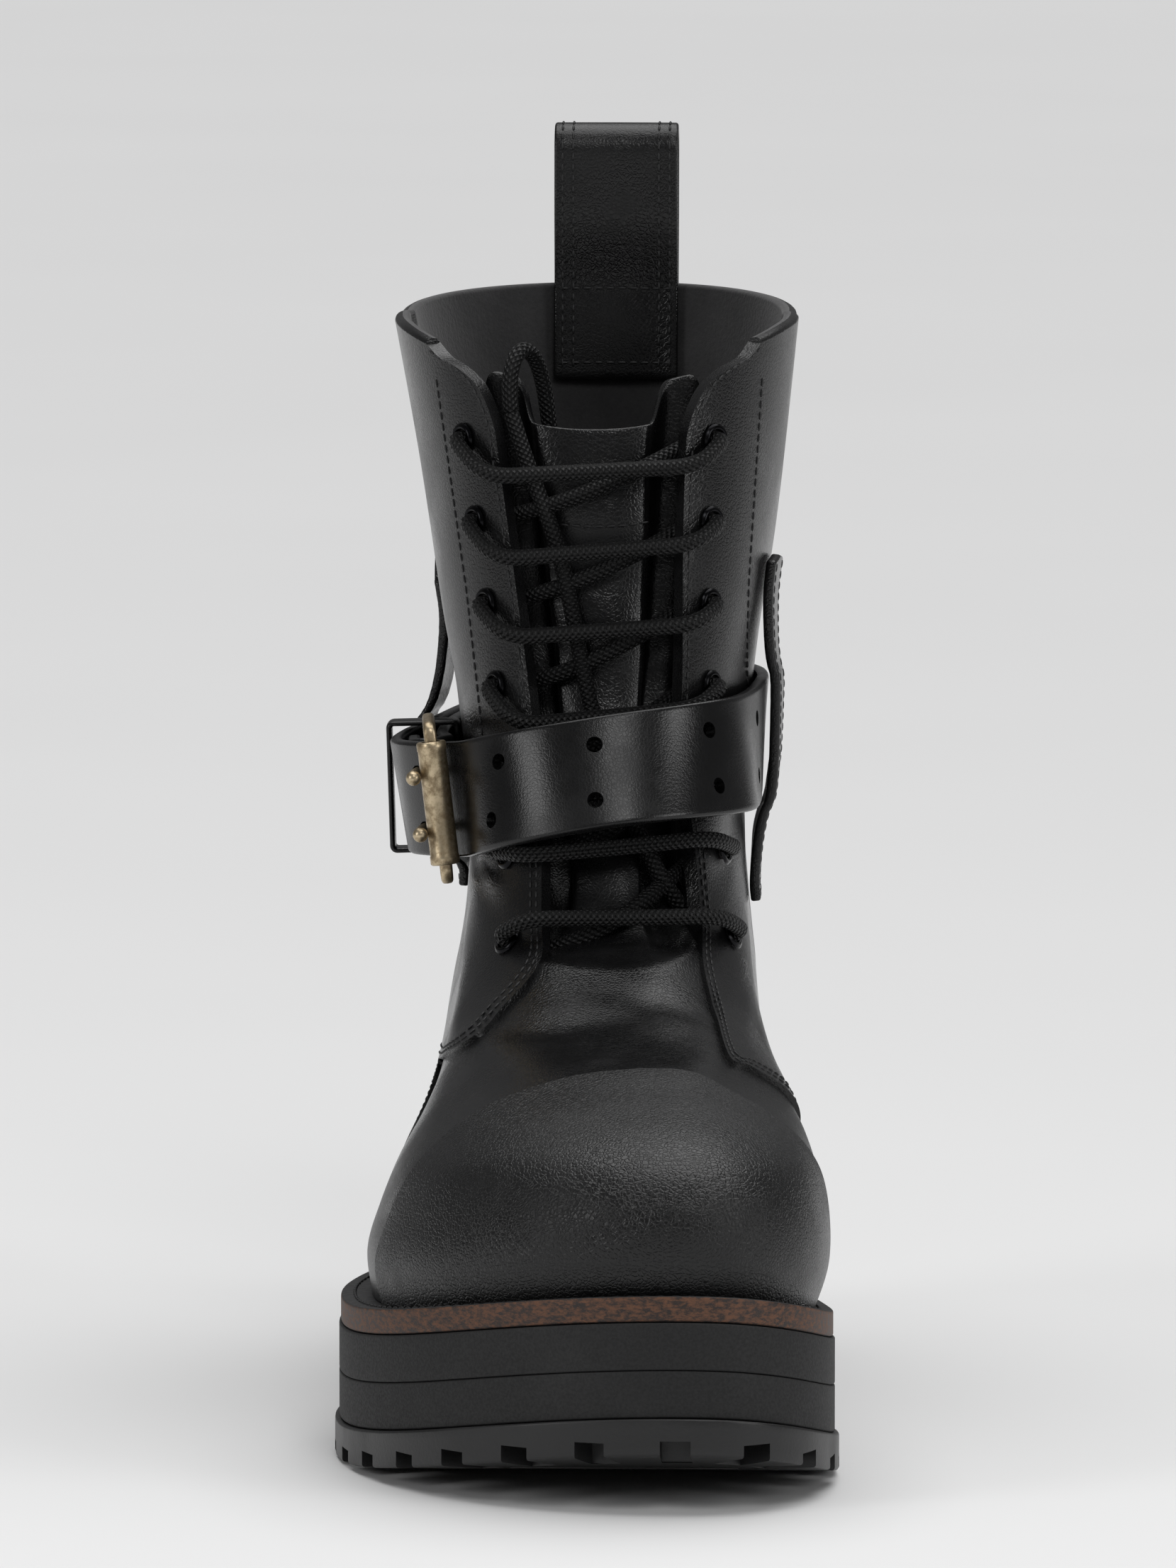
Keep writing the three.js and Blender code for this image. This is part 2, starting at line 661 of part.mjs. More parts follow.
// Points that leave an eyelet's bore, outwards (way 1) or inwards (way -1), and bend towards a direction.
function bend(eyelet, towards, way) {
  const normal = eyelet.normal.clone().multiplyScalar(way);
  const reach = way > 0 ? barHeight : -behindWall;
  const start = way > 0 ? -0.5 : 1.1;
  const along = towards.clone().addScaledVector(eyelet.normal, -towards.dot(eyelet.normal)).normalize();
  const spot = (d, h) => eyelet.at.clone().addScaledVector(along, d).addScaledVector(normal, h);
  const low = reach - laceBend;
  return [spot(0, start), spot(0, low), spot(laceBend, reach)];
}

// How far each outer bar droops below its eyelets at its lateral and medial ends.
const barDroop = {
  columns: "row lateral medial",
  rows: [
    [1, 8.5, 6],
    [2, 8.5, 5],
    [3, 7.5, 4.5],
    [4, 9, 5],
    [5, 7, 5],
    [6, 1, -3],
    [7, -3.5, -4],
  ],
};
for (const [row, lateralDroop, medialDroop] of barDroop.rows) {
  const [left, right] = [eyeletAt(row, -1), eyeletAt(row, 1)];
  const edge = (eyelet, inwards, droop) => {
    const spot = frontSpot(eyelet.at.x + inwards, eyelet.at.z - droop);
    return skin(spot.level, spot.turn, barHeight + 2 * laceClear);
  };
  const leftEdge = edge(left, facingInset.lateral, lateralDroop);
  const rightEdge = edge(right, -facingInset.medial, medialDroop);
  const over = [0.3, 0.7].map((k) => {
    const point = leftEdge.clone().lerp(rightEdge, k);
    const spot = frontSpot(point.x, point.z);
    const least = skin(spot.level, spot.turn, barLow);
    return least.y < point.y ? least : point;
  });
  const points = [
    ...bend(left, leftEdge.clone().sub(left.at), 1),
    leftEdge,
    ...over,
    rightEdge,
    ...bend(right, rightEdge.clone().sub(right.at), 1).reverse(),
  ];
  piece("lace_bar_" + row, rod(points, laceRadius), cord);
}

// Behind the facings: one strand climbs from each lateral eyelet to the medial one above,
// the other runs from the lowest medial eyelet up to the lateral side of the collar.
function behind(x, z) {
  const spot = frontSpot(x, z);
  return skin(spot.level, spot.turn, behindWall);
}
const strands = [];
for (let row = eyeletRows; row > 1; row--) {
  const [from, to] = [eyeletAt(row, -1), eyeletAt(row - 1, 1)];
  const at = (k) => behind(mix(from.at.x, to.at.x, k), mix(from.at.z, to.at.z, k) - 4 * k * (1 - k));
  const inner = [0.25, 0.5, 0.75].map(at);
  const start = bend(from, inner[0].clone().sub(from.at), -1);
  const end = bend(to, inner[2].clone().sub(to.at), -1).reverse();
  strands.push(rod([...start, ...inner, ...end], laceRadius));
}
// Long strand: heights as shares of the collar's rise, x as shares of footWidth / 2.
const longStrand = {
  columns: "rise x",
  rows: [
    [0.405, 0.46],
    [0.46, 0.3],
    [0.59, 0.0],
    [0.69, -0.11],
    [0.8, -0.2],
    [0.9, -0.38],
    [0.955, -0.46],
  ],
};
const strandPoints = longStrand.rows.map(([rise, x]) => behind(sideX(x), heightOf(rise)));
const lowest = eyeletAt(eyeletRows, 1);
const strandFoot = bend(lowest, strandPoints[0].clone().sub(lowest.at), -1);
strands.push(rod([...strandFoot, ...strandPoints], laceRadius));
const crossings = strands.map(solidOf).reduce((all, one) => all.add(one));
piece("lace_crossings", geometryOf(crossings), cord);

// Free end of the lace: up behind the lateral facing, over the tongue's fold and down inside the shaft.
const freeEnd = {
  columns: "rise x offset",
  rows: [
    [0.9573, -0.462, -4.9],
    [0.985, -0.475, -5.2],
    [1.012, -0.475, -6.6],
    [1.027, -0.47, -10],
    [1.022, -0.46, -14],
    [1.0, -0.45, -17.6],
    [0.96, -0.43, -19.5],
    [0.9, -0.42, -19.5],
    [0.84, -0.41, -19.5],
  ],
};
const endPoints = freeEnd.rows.map(([rise, x, offset]) => {
  const low = Math.min(rise, 0.97);
  const spot = frontSpot(sideX(x), heightOf(low));
  const point = skin(spot.level, spot.turn, offset);
  point.z = heightOf(rise);
  return point;
});
piece("lace_end", rod(endPoints, laceRadius), cord);

// Pull loop: one strap folded over the back of the collar, in front of it and behind it.
function backSpot(x, z) {
  const side = x < 0 ? -1 : 1;
  let low = 0.6;
  let high = 1;
  for (let i = 0; i < 24; i++) {
    const middle = (low + high) / 2;
    if (Math.abs(facePoint(levelAt(z, middle), side * middle).x) > Math.abs(x)) low = middle;
    else high = middle;
  }
  const turn = (side * (low + high)) / 2;
  return { level: levelAt(z, turn), turn };
}
const rimHeight = facePoint(topLevel, 1).z;
const loopColumns = 4;
function loopFace(out) {
  const legStations = 4;
  const riseStations = 5;
  const archStations = 6;
  const rimInset = { inner: -wall - 3 * gap, outer: overlay + 2 * gap };
  const rimMiddle = (rimInset.inner + rimInset.outer) / 2;
  const rimHalf = (rimInset.outer - rimInset.inner) / 2;
  const archBase = loopHeight - loopBow / 2 - loopThick;
  const leg = (k, side) => ({ z: rimHeight - loopPatch * (1 - k), half: rimHalf * side, rise: 0 });
  const stations = [];
  for (let i = 0; i < legStations; i++) stations.push(leg(i / (legStations - 1), -1));
  for (let i = 1; i <= riseStations; i++) {
    const k = i / riseStations;
    stations.push({ z: rimHeight + archBase * k, half: -mix(rimHalf, loopBow / 2, smooth(k * 1.6)), rise: k });
  }
  for (let i = 1; i < archStations; i++) {
    const angle = Math.PI * (i / archStations);
    stations.push({ z: rimHeight + archBase, half: 0, rise: 1, angle });
  }
  for (let i = riseStations; i >= 1; i--) {
    const k = i / riseStations;
    stations.push({ z: rimHeight + archBase * k, half: mix(rimHalf, loopBow / 2, smooth(k * 1.6)), rise: k });
  }
  for (let i = legStations - 1; i >= 0; i--) stations.push(leg(i / (legStations - 1), 1));
  return stations.map(({ z, half, rise, angle }) =>
    Array.from({ length: loopColumns + 1 }, (_, j) => {
      const x = loopWidth * (j / loopColumns - 0.5);
      const spot = backSpot(x, Math.min(z, rimHeight - 0.5));
      const side = angle === undefined ? Math.sign(half) : 0;
      const point = skin(spot.level, spot.turn, rimMiddle + half + side * out);
      const seam = skin(backSpot(0.01, Math.min(z, rimHeight - 0.5)).level, 1, rimMiddle + half + side * out);
      point.y = mix(point.y, seam.y, rise * 0.7);
      point.x = x;
      point.z = z;
      if (angle !== undefined) {
        point.y += -Math.cos(angle) * (loopBow / 2 + out);
        point.z += Math.sin(angle) * (loopBow / 2 + out);
      }
      return point;
    }),
  );
}
piece("pull_loop", sheet(loopFace(loopThick), loopFace(0)), leather);

// Belt round the ankle: it runs from the buckle round the heel to the front and back through the buckle.
// Each row: turn round the boot, distance of the belt's inner face off the leather.
const seat = overlay + gap;
const beltLine = {
  columns: "turn offset lean",
  rows: [
    [-0.43, 2.7, 0],
    [-0.49, 4.7, 0],
    [-0.6, 4.7, 0],
    [-0.78, 2.6, 0],
    [-0.9, 1.9, 0],
    [-1, 1.7, 0],
    [-1.4, 1.7, 0],
    [-1.58, 2.2, 0],
    [-1.68, 4.5, 0],
    [-1.76, 7.9, 0],
    [-1.86, 8.4, 0],
    [-2, 8.4, 0],
    [-2.14, 8.4, 0.04],
    [-2.21, 7.4, 0.12],
    [-2.27, 5.6, 0.18],
    [-2.33, 9.6, 0.18],
    [-2.39, 13.8, 0.14],
    [-2.44, 14.4, 0.12],
    [-2.49, 14.2, 0.1],
    [-2.54, 12, 0.06],
    [-2.59, 9.4, 0.02],
    [-2.64, 8, 0],
    [-2.7, 7.2, 0],
    [-2.8, 6.3, 0],
  ],
};
const beltRise = 0.537;
const beltHeightAt = (x) => heightOf(beltRise) + beltTilt * x;
const wrapped = (turn) => ((((turn + 1) % 2) + 2) % 2) - 1;
// Middle of the belt's path on the leather at a turn.
function beltSpot(turn) {
  const side = wrapped(turn);
  let level = levelAt(beltHeightAt(0), side);
  for (let i = 0; i < 4; i++) level = levelAt(beltHeightAt(facePoint(level, side).x), side);
  return { level, side, at: skin(level, side) };
}
function beltFrame(turn) {
  const [, offset, lean] = tableAt(beltLine.rows.map(([t, ...row]) => [-t, ...row]), -turn);
  const { level, side, at: centre } = beltSpot(turn);
  const step = 0.01;
  const along = beltSpot(turn - step).at.sub(beltSpot(turn + step).at);
  const rate = along.length() / (2 * step);
  along.normalize();
  const out = faceNormal(level, side);
  out.addScaledVector(along, -out.dot(along)).normalize();
  const up = along.clone().cross(out);
  if (up.z < 0) up.negate();
  let bulge = 0;
  for (const share of [-0.5, -0.25, 0.25, 0.5]) {
    const height = centre.z + share * beltHeight * up.z;
    let near = turn;
    let away = new THREE.Vector3();
    for (let i = 0; i < 4; i++) {
      away = skin(levelAt(height, wrapped(near)), wrapped(near)).sub(centre);
      near += (away.dot(along) - share * beltHeight * up.dot(along)) / rate;
    }
    bulge = Math.max(bulge, away.dot(out));
  }
  const at = centre.clone().addScaledVector(out, offset + bulge);
  const leaning = up.clone().addScaledVector(out, lean).normalize();
  out.addScaledVector(up, -lean).normalize();
  return { at, up: leaning, out };
}
const beltEnds = { start: beltLine.rows[0][0], end: beltLine.rows.at(-1)[0] };
const beltSteps = 72;

// Buckle on the lateral side: a roller on its front bar, two prongs from its rear bar.
// The belt's near end is folded round the rear bar.
const barThick = 3;
const barRadius = barThick * Math.SQRT1_2 + gap;
const rollerSpot = beltFrame(-2.275);
const rearSpot = beltFrame(beltEnds.start);
const rollerCentre = rollerSpot.at
  .clone()
  .addScaledVector(rollerSpot.out, beltThick + 4 * gap + rollerDiameter / 2);
const rearCentre = rearSpot.at.clone().addScaledVector(rearSpot.out, beltThick + barRadius);
const buckleUp = rollerSpot.up;
const buckleAlong = rearCentre.clone().sub(rollerCentre);
buckleAlong.addScaledVector(buckleUp, -buckleAlong.dot(buckleUp));
const buckleLength = buckleAlong.length();
buckleAlong.normalize();
const buckleOut = buckleUp.clone().cross(buckleAlong).normalize();
const outSign = buckleOut.dot(rollerSpot.out) > 0 ? -1 : 1;
buckleOut.multiplyScalar(-outSign);
const buckleBasis = new THREE.Matrix4().makeBasis(buckleAlong, buckleUp, buckleAlong.clone().cross(buckleUp));
buckleBasis.setPosition(rollerCentre);
// From the buckle's own axes: along the belt, up, out of the boot; the roller's middle is the origin.
function inBuckle(geometry) {
  geometry.applyMatrix4(buckleBasis);
  return facingOut(bare(geometry));
}

// The fold of the belt's near end: it starts outside the rear bar, behind it, and goes round its front.
const foldSteps = 6;
const foldFrame = (angle, back) => {
  const out = buckleOut.clone().multiplyScalar(Math.cos(angle)).addScaledVector(buckleAlong, Math.sin(angle));
  const at = rearCentre.clone().addScaledVector(out, -(barRadius + beltThick));
  at.addScaledVector(buckleAlong, back);
  return { at, up: buckleUp, out };
};
const foldFrames = [foldFrame(Math.PI, 11), foldFrame(Math.PI, 5)];
for (let i = 0; i <= foldSteps; i++) foldFrames.push(foldFrame(Math.PI * (1 - i / foldSteps), 0));
const beltFrames = [
  ...foldFrames,
  ...Array.from({ length: beltSteps }, (_, i) =>
    beltFrame(mix(beltEnds.start, beltEnds.end, (i + 1.6) / (beltSteps + 0.6))),
  ),
];
const beltFace = (out) =>
  beltFrames.map((f) =>
    [-0.5, 0.5].map((k) =>
      f.at.clone().addScaledVector(f.up, k * beltHeight).addScaledVector(f.out, out),
    ),
  );
let belt = solidOf(sheet(beltFace(beltThick), beltFace(0)));

// Two rows of round holes along the front of the belt.
const beltHoles = { turns: [-1.66, -1.83, -2.01, -2.16], spread: 13.5, lean: 0.006 };
const holeDrill = (frame, height) => {
  const drill = new THREE.CylinderGeometry(beltHole / 2, beltHole / 2, 12, 10);
  return solidOf(turned(drill, frame.at.clone().addScaledVector(frame.up, height), frame.out));
};
for (const turn of beltHoles.turns) {
  belt = belt.subtract(holeDrill(beltFrame(turn + beltHoles.lean), beltHoles.spread / 2));
  belt = belt.subtract(holeDrill(beltFrame(turn - beltHoles.lean), -beltHoles.spread / 2));
}

const beltRoom = beltHeight / 2 + 1.5;
const frameTop = beltRoom + frameRod;
function rectangle(low, high, height) {
  return [
    new THREE.Vector2(low, -height),
    new THREE.Vector2(high, -height),
    new THREE.Vector2(high, height),
    new THREE.Vector2(low, height),
  ];
}
const frameShape = new THREE.Shape(rectangle(-barThick / 2, buckleLength + barThick / 2, frameTop));
frameShape.holes.push(new THREE.Path(rectangle(barThick / 2, buckleLength - barThick / 2, beltRoom)));
const frameSolid = new THREE.ExtrudeGeometry(frameShape, { depth: barThick, bevelEnabled: false });
frameSolid.translate(0, 0, -barThick / 2);
piece("buckle_frame", inBuckle(frameSolid), brass);

const rollerBore = barThick * Math.SQRT2 + 0.4;
const rollerHalf = beltRoom - 0.6;
const rollerSolid = new THREE.LatheGeometry(
  [
    [rollerBore / 2, -rollerHalf],
    [rollerDiameter / 2, -rollerHalf],
    [rollerDiameter / 2, rollerHalf],
    [rollerBore / 2, rollerHalf],
    [rollerBore / 2, -rollerHalf],
  ].map(([r, h]) => new THREE.Vector2(r, h)),
  12,
);
piece("buckle_roller", inBuckle(rollerSolid), brass);

const prongSpread = beltHoles.spread / 2;
const prongRest = rollerDiameter / 2 + prongRod / 2 + gap;
[1, -1].forEach((side, i) => {
  const height = side * prongSpread;
  const at = (along, out) => new THREE.Vector3(along, height, outSign * out);
  const foot = at(buckleLength - barThick / 2 - prongRod / 2 - gap, 0);
  const nose = at(-rollerDiameter * 0.55, prongRest);
  const path = [foot, at(buckleLength * 0.72, prongRest * 0.35), at(buckleLength * 0.3, prongRest), nose];
  const shank = solidOf(inBuckle(rod(path, prongRod / 2, 8)));
  const ball = new THREE.SphereGeometry(prongBall / 2, 10, 8);
  ball.translate(nose.x, nose.y, nose.z);
  piece("buckle_prong_" + (i + 1), geometryOf(shank.add(solidOf(inBuckle(ball)))), brass);
  const slot = solidOf(inBuckle(rod([foot, ...path.slice(1)], prongRod / 2 + gap + 0.15, 8)));
  belt = belt.subtract(slot);
});
piece("belt_strap", geometryOf(belt), beltLeather);

// Place on one side of the shaft at a given y and z.
function flankSpot(y, z, side) {
  let low = 0.1;
  let high = 0.95;
  for (let i = 0; i < 24; i++) {
    const middle = side * ((low + high) / 2);
    if (facePoint(levelAt(z, middle), middle).y < y) low = Math.abs(middle);
    else high = Math.abs(middle);
  }
  const turn = (side * (low + high)) / 2;
  return { level: levelAt(z, turn), turn };
}

// Keepers: narrow straps sewn to the shaft above and below the belt, which passes behind them.
function keeper(name, { y, side, over, top, foot, point }) {
  const beltAt = beltHeightAt(facePoint(flankSpot(y, heightOf(beltRise), side).level, side * 0.5).x);
  const half = beltHeight / 2;
  const room = seat + gap;
  const rows = [
    [heightOf(top), room],
    [heightOf(top) - 9, room],
    [beltAt + half + 6, mix(room, over, 0.45)],
    [beltAt + half, over],
    [beltAt - half, over],
    [beltAt - half - 5, mix(room, over, 0.45)],
    [heightOf(foot) + 5, room],
    [heightOf(foot), room],
  ];
  const face = (out) =>
    rows.map(([z, off], i) =>
      [-0.5, 0, 0.5].map((k) => {
        const tip = k === 0 && i === 0 ? point : 0;
        const spot = flankSpot(y + k * keeperWidth, z + tip, side);
        return skin(spot.level, spot.turn, off + out);
      }),
    );
  piece(name, sheet(face(keeperThick), face(0)), leather);
}
const underBelt = beltThick + 2 * gap;
keeper("keeper_medial", { y: 67, side: 1, over: 3.4 + underBelt, top: 0.775, foot: 0.375, point: 1 });
keeper("keeper_lateral", { y: 96, side: -1, over: 10.6 + underBelt, top: 0.735, foot: 0.375, point: 6 });

// Keeper ring round both layers of the belt, behind the buckle.
const ringTurn = -0.53;
const ringThick = 1.4;
const ringClear = 0.5;
const ringWidth = 8;
const ringSpot = beltFrame(ringTurn);
const ringReach = { out: [], up: [] };
for (const [layer, face] of [[0, 0], [2, beltThick]]) {
  for (const near of [-0.03, 0, 0.03]) {
    const frame = beltFrame(ringTurn + near - layer);
    for (const side of [-1, 1]) {
      const corner = frame.at.clone().addScaledVector(frame.out, face).sub(ringSpot.at);
      corner.addScaledVector(frame.up, (side * beltHeight) / 2);
      ringReach.out.push(corner.dot(ringSpot.out));
      ringReach.up.push(corner.dot(ringSpot.up));
    }
  }
}
const ringInside = [
  Math.min(...ringReach.out) - ringClear,
  Math.min(...ringReach.up) - ringClear,
  Math.max(...ringReach.out) + ringClear,
  Math.max(...ringReach.up) + ringClear,
];
const cornersOf = ([x0, y0, x1, y1], grow) => [
  new THREE.Vector2(x0 - grow, y0 - grow),
  new THREE.Vector2(x1 + grow, y0 - grow),
  new THREE.Vector2(x1 + grow, y1 + grow),
  new THREE.Vector2(x0 - grow, y1 + grow),
];
const ringShape = new THREE.Shape(cornersOf(ringInside, ringThick));
ringShape.holes.push(new THREE.Path(cornersOf(ringInside, 0)));
const ringSolid = new THREE.ExtrudeGeometry(ringShape, { depth: ringWidth, bevelEnabled: false });
ringSolid.translate(0, 0, -ringWidth / 2);
const ringBasis = new THREE.Matrix4().makeBasis(ringSpot.out, ringSpot.up, ringSpot.out.clone().cross(ringSpot.up));
ringBasis.setPosition(ringSpot.at);
ringSolid.applyMatrix4(ringBasis);
piece("keeper_ring", facingOut(bare(ringSolid)), leather);

boot.updateMatrixWorld(true);
const extent = new THREE.Box3().setFromObject(boot);
boot.position.set(-(extent.min.x + extent.max.x) / 2, -(extent.min.y + extent.max.y) / 2, -extent.min.z);

export default boot;
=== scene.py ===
"""Lace-up boot on a lugged platform sole: studio scene over the CAD frame.

Lengths in the shape code are millimetres in the boot's own frame (+X medial, -Y toe, +Z up), and
become metres where a mesh is made.
"""

from __future__ import annotations

import logging
import math
from collections.abc import Callable, Iterable, Sequence
from dataclasses import dataclass, field, replace
from enum import Enum

import bmesh
import bpy
import numpy as np
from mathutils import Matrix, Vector

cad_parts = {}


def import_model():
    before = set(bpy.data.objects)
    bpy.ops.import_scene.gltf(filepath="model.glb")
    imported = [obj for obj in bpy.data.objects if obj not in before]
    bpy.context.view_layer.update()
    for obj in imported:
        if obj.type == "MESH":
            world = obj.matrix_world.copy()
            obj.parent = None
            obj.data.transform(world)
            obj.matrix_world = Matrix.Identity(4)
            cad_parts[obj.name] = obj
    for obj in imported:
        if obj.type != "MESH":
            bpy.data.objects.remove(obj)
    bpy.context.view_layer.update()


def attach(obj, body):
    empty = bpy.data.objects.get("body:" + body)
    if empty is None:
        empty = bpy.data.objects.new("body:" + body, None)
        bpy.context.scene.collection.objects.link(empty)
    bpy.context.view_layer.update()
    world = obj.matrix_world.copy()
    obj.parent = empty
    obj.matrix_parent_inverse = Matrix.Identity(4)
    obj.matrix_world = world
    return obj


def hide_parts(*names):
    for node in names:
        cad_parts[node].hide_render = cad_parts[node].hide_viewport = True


LOG = logging.getLogger("boot")
MM = 0.001
Array = np.ndarray
Color = tuple[float, float, float]

FOOT_LENGTH = 294.0
FOOT_WIDTH = 104.0
COLLAR_RISE = 206.0
SOLE_LENGTH = 305.0
SOLE_WIDTH = 118.0
WALL = 2.4
OVERLAY = 1.3
GAP = 0.3
OUTSOLE_THICK = 9.0
MIDSOLE_THICK = 11.0
WELT_THICK = 6.0
INSOLE_THICK = 3.0
TOE_SPRING = 14.0
HEEL_LIFT = 12.0
LUG_DEPTH = 3.4
LUG_PITCH = 19.0
NOTCH_WIDTH = 7.0
NOTCH_REACH = 13.0
LACE = 3.8
LACE_CLEAR = 0.6
MIDSOLE_BASE = OUTSOLE_THICK
UPPER_MIDSOLE_BASE = MIDSOLE_BASE + MIDSOLE_THICK
WELT_BASE = UPPER_MIDSOLE_BASE + MIDSOLE_THICK
STACK_TOP = WELT_BASE + WELT_THICK + GAP


class Slot(Enum):
    """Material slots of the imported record."""

    UPPER = "upper_leather"
    BELT = "belt_leather"
    LINING = "lining"
    FOAM = "midsole_foam"
    RUBBER = "outsole_rubber"
    WELT = "welt_edge"
    CORD = "lace_cord"
    BLACK_METAL = "black_metal"
    BRASS = "antique_brass"


def smooth(value: Array | float) -> Array:
    """Smoothstep of a value or array, clamped to 0..1.

    Args:
        value: Any number or array.

    Returns:
        The eased value.
    """
    k = np.clip(value, 0.0, 1.0)
    return k * k * (3.0 - 2.0 * k)


def mix(a: Array | float, b: Array | float, k: Array | float) -> Array:
    """Linear mix of two values.

    Args:
        a: Value at 0.
        b: Value at 1.
        k: Share of b.

    Returns:
        The mixed value.
    """
    return a + (b - a) * k


def within_round(turn: Array) -> Array:
    """The same place as a turn within one round, from -1 to 1."""
    return (turn + 1) % 2 - 1


def bisected(
    low: float, high: float, shape: tuple[int, ...], before: Callable[[Array], Array], steps: int = 26
) -> Array:
    """Places between two ends, found by halving.

    Args:
        low: Lower end.
        high: Upper end.
        shape: Shape of the result.
        before: Whether given places lie before the ones looked for.
        steps: How often the stretch is halved.

    Returns:
        The places.
    """
    lows, highs = np.full(shape, low), np.full(shape, high)
    for _ in range(steps):
        middle = (lows + highs) / 2
        more = before(middle)
        lows, highs = np.where(more, middle, lows), np.where(more, highs, middle)
    return (lows + highs) / 2


def circle(first: Array, second: Array, count: int) -> Array:
    """Unit circle in the plane of two axes.

    Args:
        first: Axis of the first point.
        second: Axis at a right angle to it.
        count: How many points.

    Returns:
        Points, without the last one.
    """
    angle = np.linspace(0, 2 * np.pi, count, endpoint=False)
    return np.cos(angle)[:, None] * first + np.sin(angle)[:, None] * second


SPRING_START = -0.19 * SOLE_LENGTH
HEEL_RISE_START = -0.065 * SOLE_LENGTH
HEEL_RISE_SPAN = 0.295 * SOLE_LENGTH


def line_lift(y: Array | float) -> Array:
    """Height of the sole's underside line over the floor.

    Args:
        y: Place along the boot.

    Returns:
        The lift in millimetres.
    """
    toe = np.clip((SPRING_START - y) / (SOLE_LENGTH / 2 + SPRING_START), 0, 1.2)
    heel = smooth((y - HEEL_RISE_START) / HEEL_RISE_SPAN)
    return TOE_SPRING * toe * toe + HEEL_LIFT * heel


@dataclass(frozen=True)
class Plan:
    """Closed plan curve, with half-widths at the ball, waist and rear and rounded ends."""

    front: Array | float
    back: Array | float
    cap_lateral: Array | float
    cap_medial: Array | float
    cap_back: Array | float
    ball_lateral: Array | float
    ball_medial: Array | float
    waist_lateral: Array | float
    waist_medial: Array | float
    rear_lateral: Array | float
    rear_medial: Array | float
    round_lateral: Array | float
    round_medial: Array | float
    nose: Array | float

    def width(self, y: Array, side: Array) -> Array:
        """Signed x of the curve.

        Args:
            y: Places along the boot.
            side: Positive for the medial side.

        Returns:
            The x of the curve on that side.
        """
        u = np.clip((y - self.front) / (self.back - self.front), 0, 1)
        medial = side > 0
        cap = np.where(medial, self.cap_medial, self.cap_lateral)
        ball = np.where(medial, self.ball_medial, self.ball_lateral)
        waist = np.where(medial, self.waist_medial, self.waist_lateral)
        rear = np.where(medial, self.rear_medial, self.rear_lateral)
        power = np.where(medial, self.round_medial, self.round_lateral)
        end = np.maximum(1 - self.cap_back, cap + 0.02)
        middle = (cap + end) / 2
        half = np.where(
            u < middle,
            mix(ball, waist, smooth((u - cap) / (middle - cap))),
            mix(waist, rear, smooth((u - middle) / (end - middle))),
        )
        toe = (1 - np.clip(1 - u / cap, 0, 1) ** power) ** (1 / power)
        heel = (1 - np.clip(1 - (1 - u) / self.cap_back, 0, 1) ** 2.2) ** (1 / 2.2)
        x = self.nose + (np.where(medial, 1, -1) * half - self.nose) * toe
        return np.where(u > middle, x * heel, x)

    def drawn_in(self, by: float) -> Plan:
        """A plan drawn in from the edge of this one.

        Args:
            by: Distance in millimetres.

        Returns:
            The smaller plan.
        """
        widths = ("ball_lateral", "ball_medial", "waist_lateral", "waist_medial", "rear_lateral", "rear_medial")
        smaller = {name: getattr(self, name) - by for name in widths}
        return replace(self, front=self.front + by, back=self.back - by, **smaller)


SOLE_PLAN = Plan(
    -SOLE_LENGTH / 2,
    SOLE_LENGTH / 2,
    0.33,
    0.19,
    0.14,
    0.5 * SOLE_WIDTH,
    0.5 * SOLE_WIDTH,
    0.375 * SOLE_WIDTH,
    0.345 * SOLE_WIDTH,
    0.335 * SOLE_WIDTH,
    0.335 * SOLE_WIDTH,
    2.0,
    2.5,
    0.195 * SOLE_WIDTH,
)


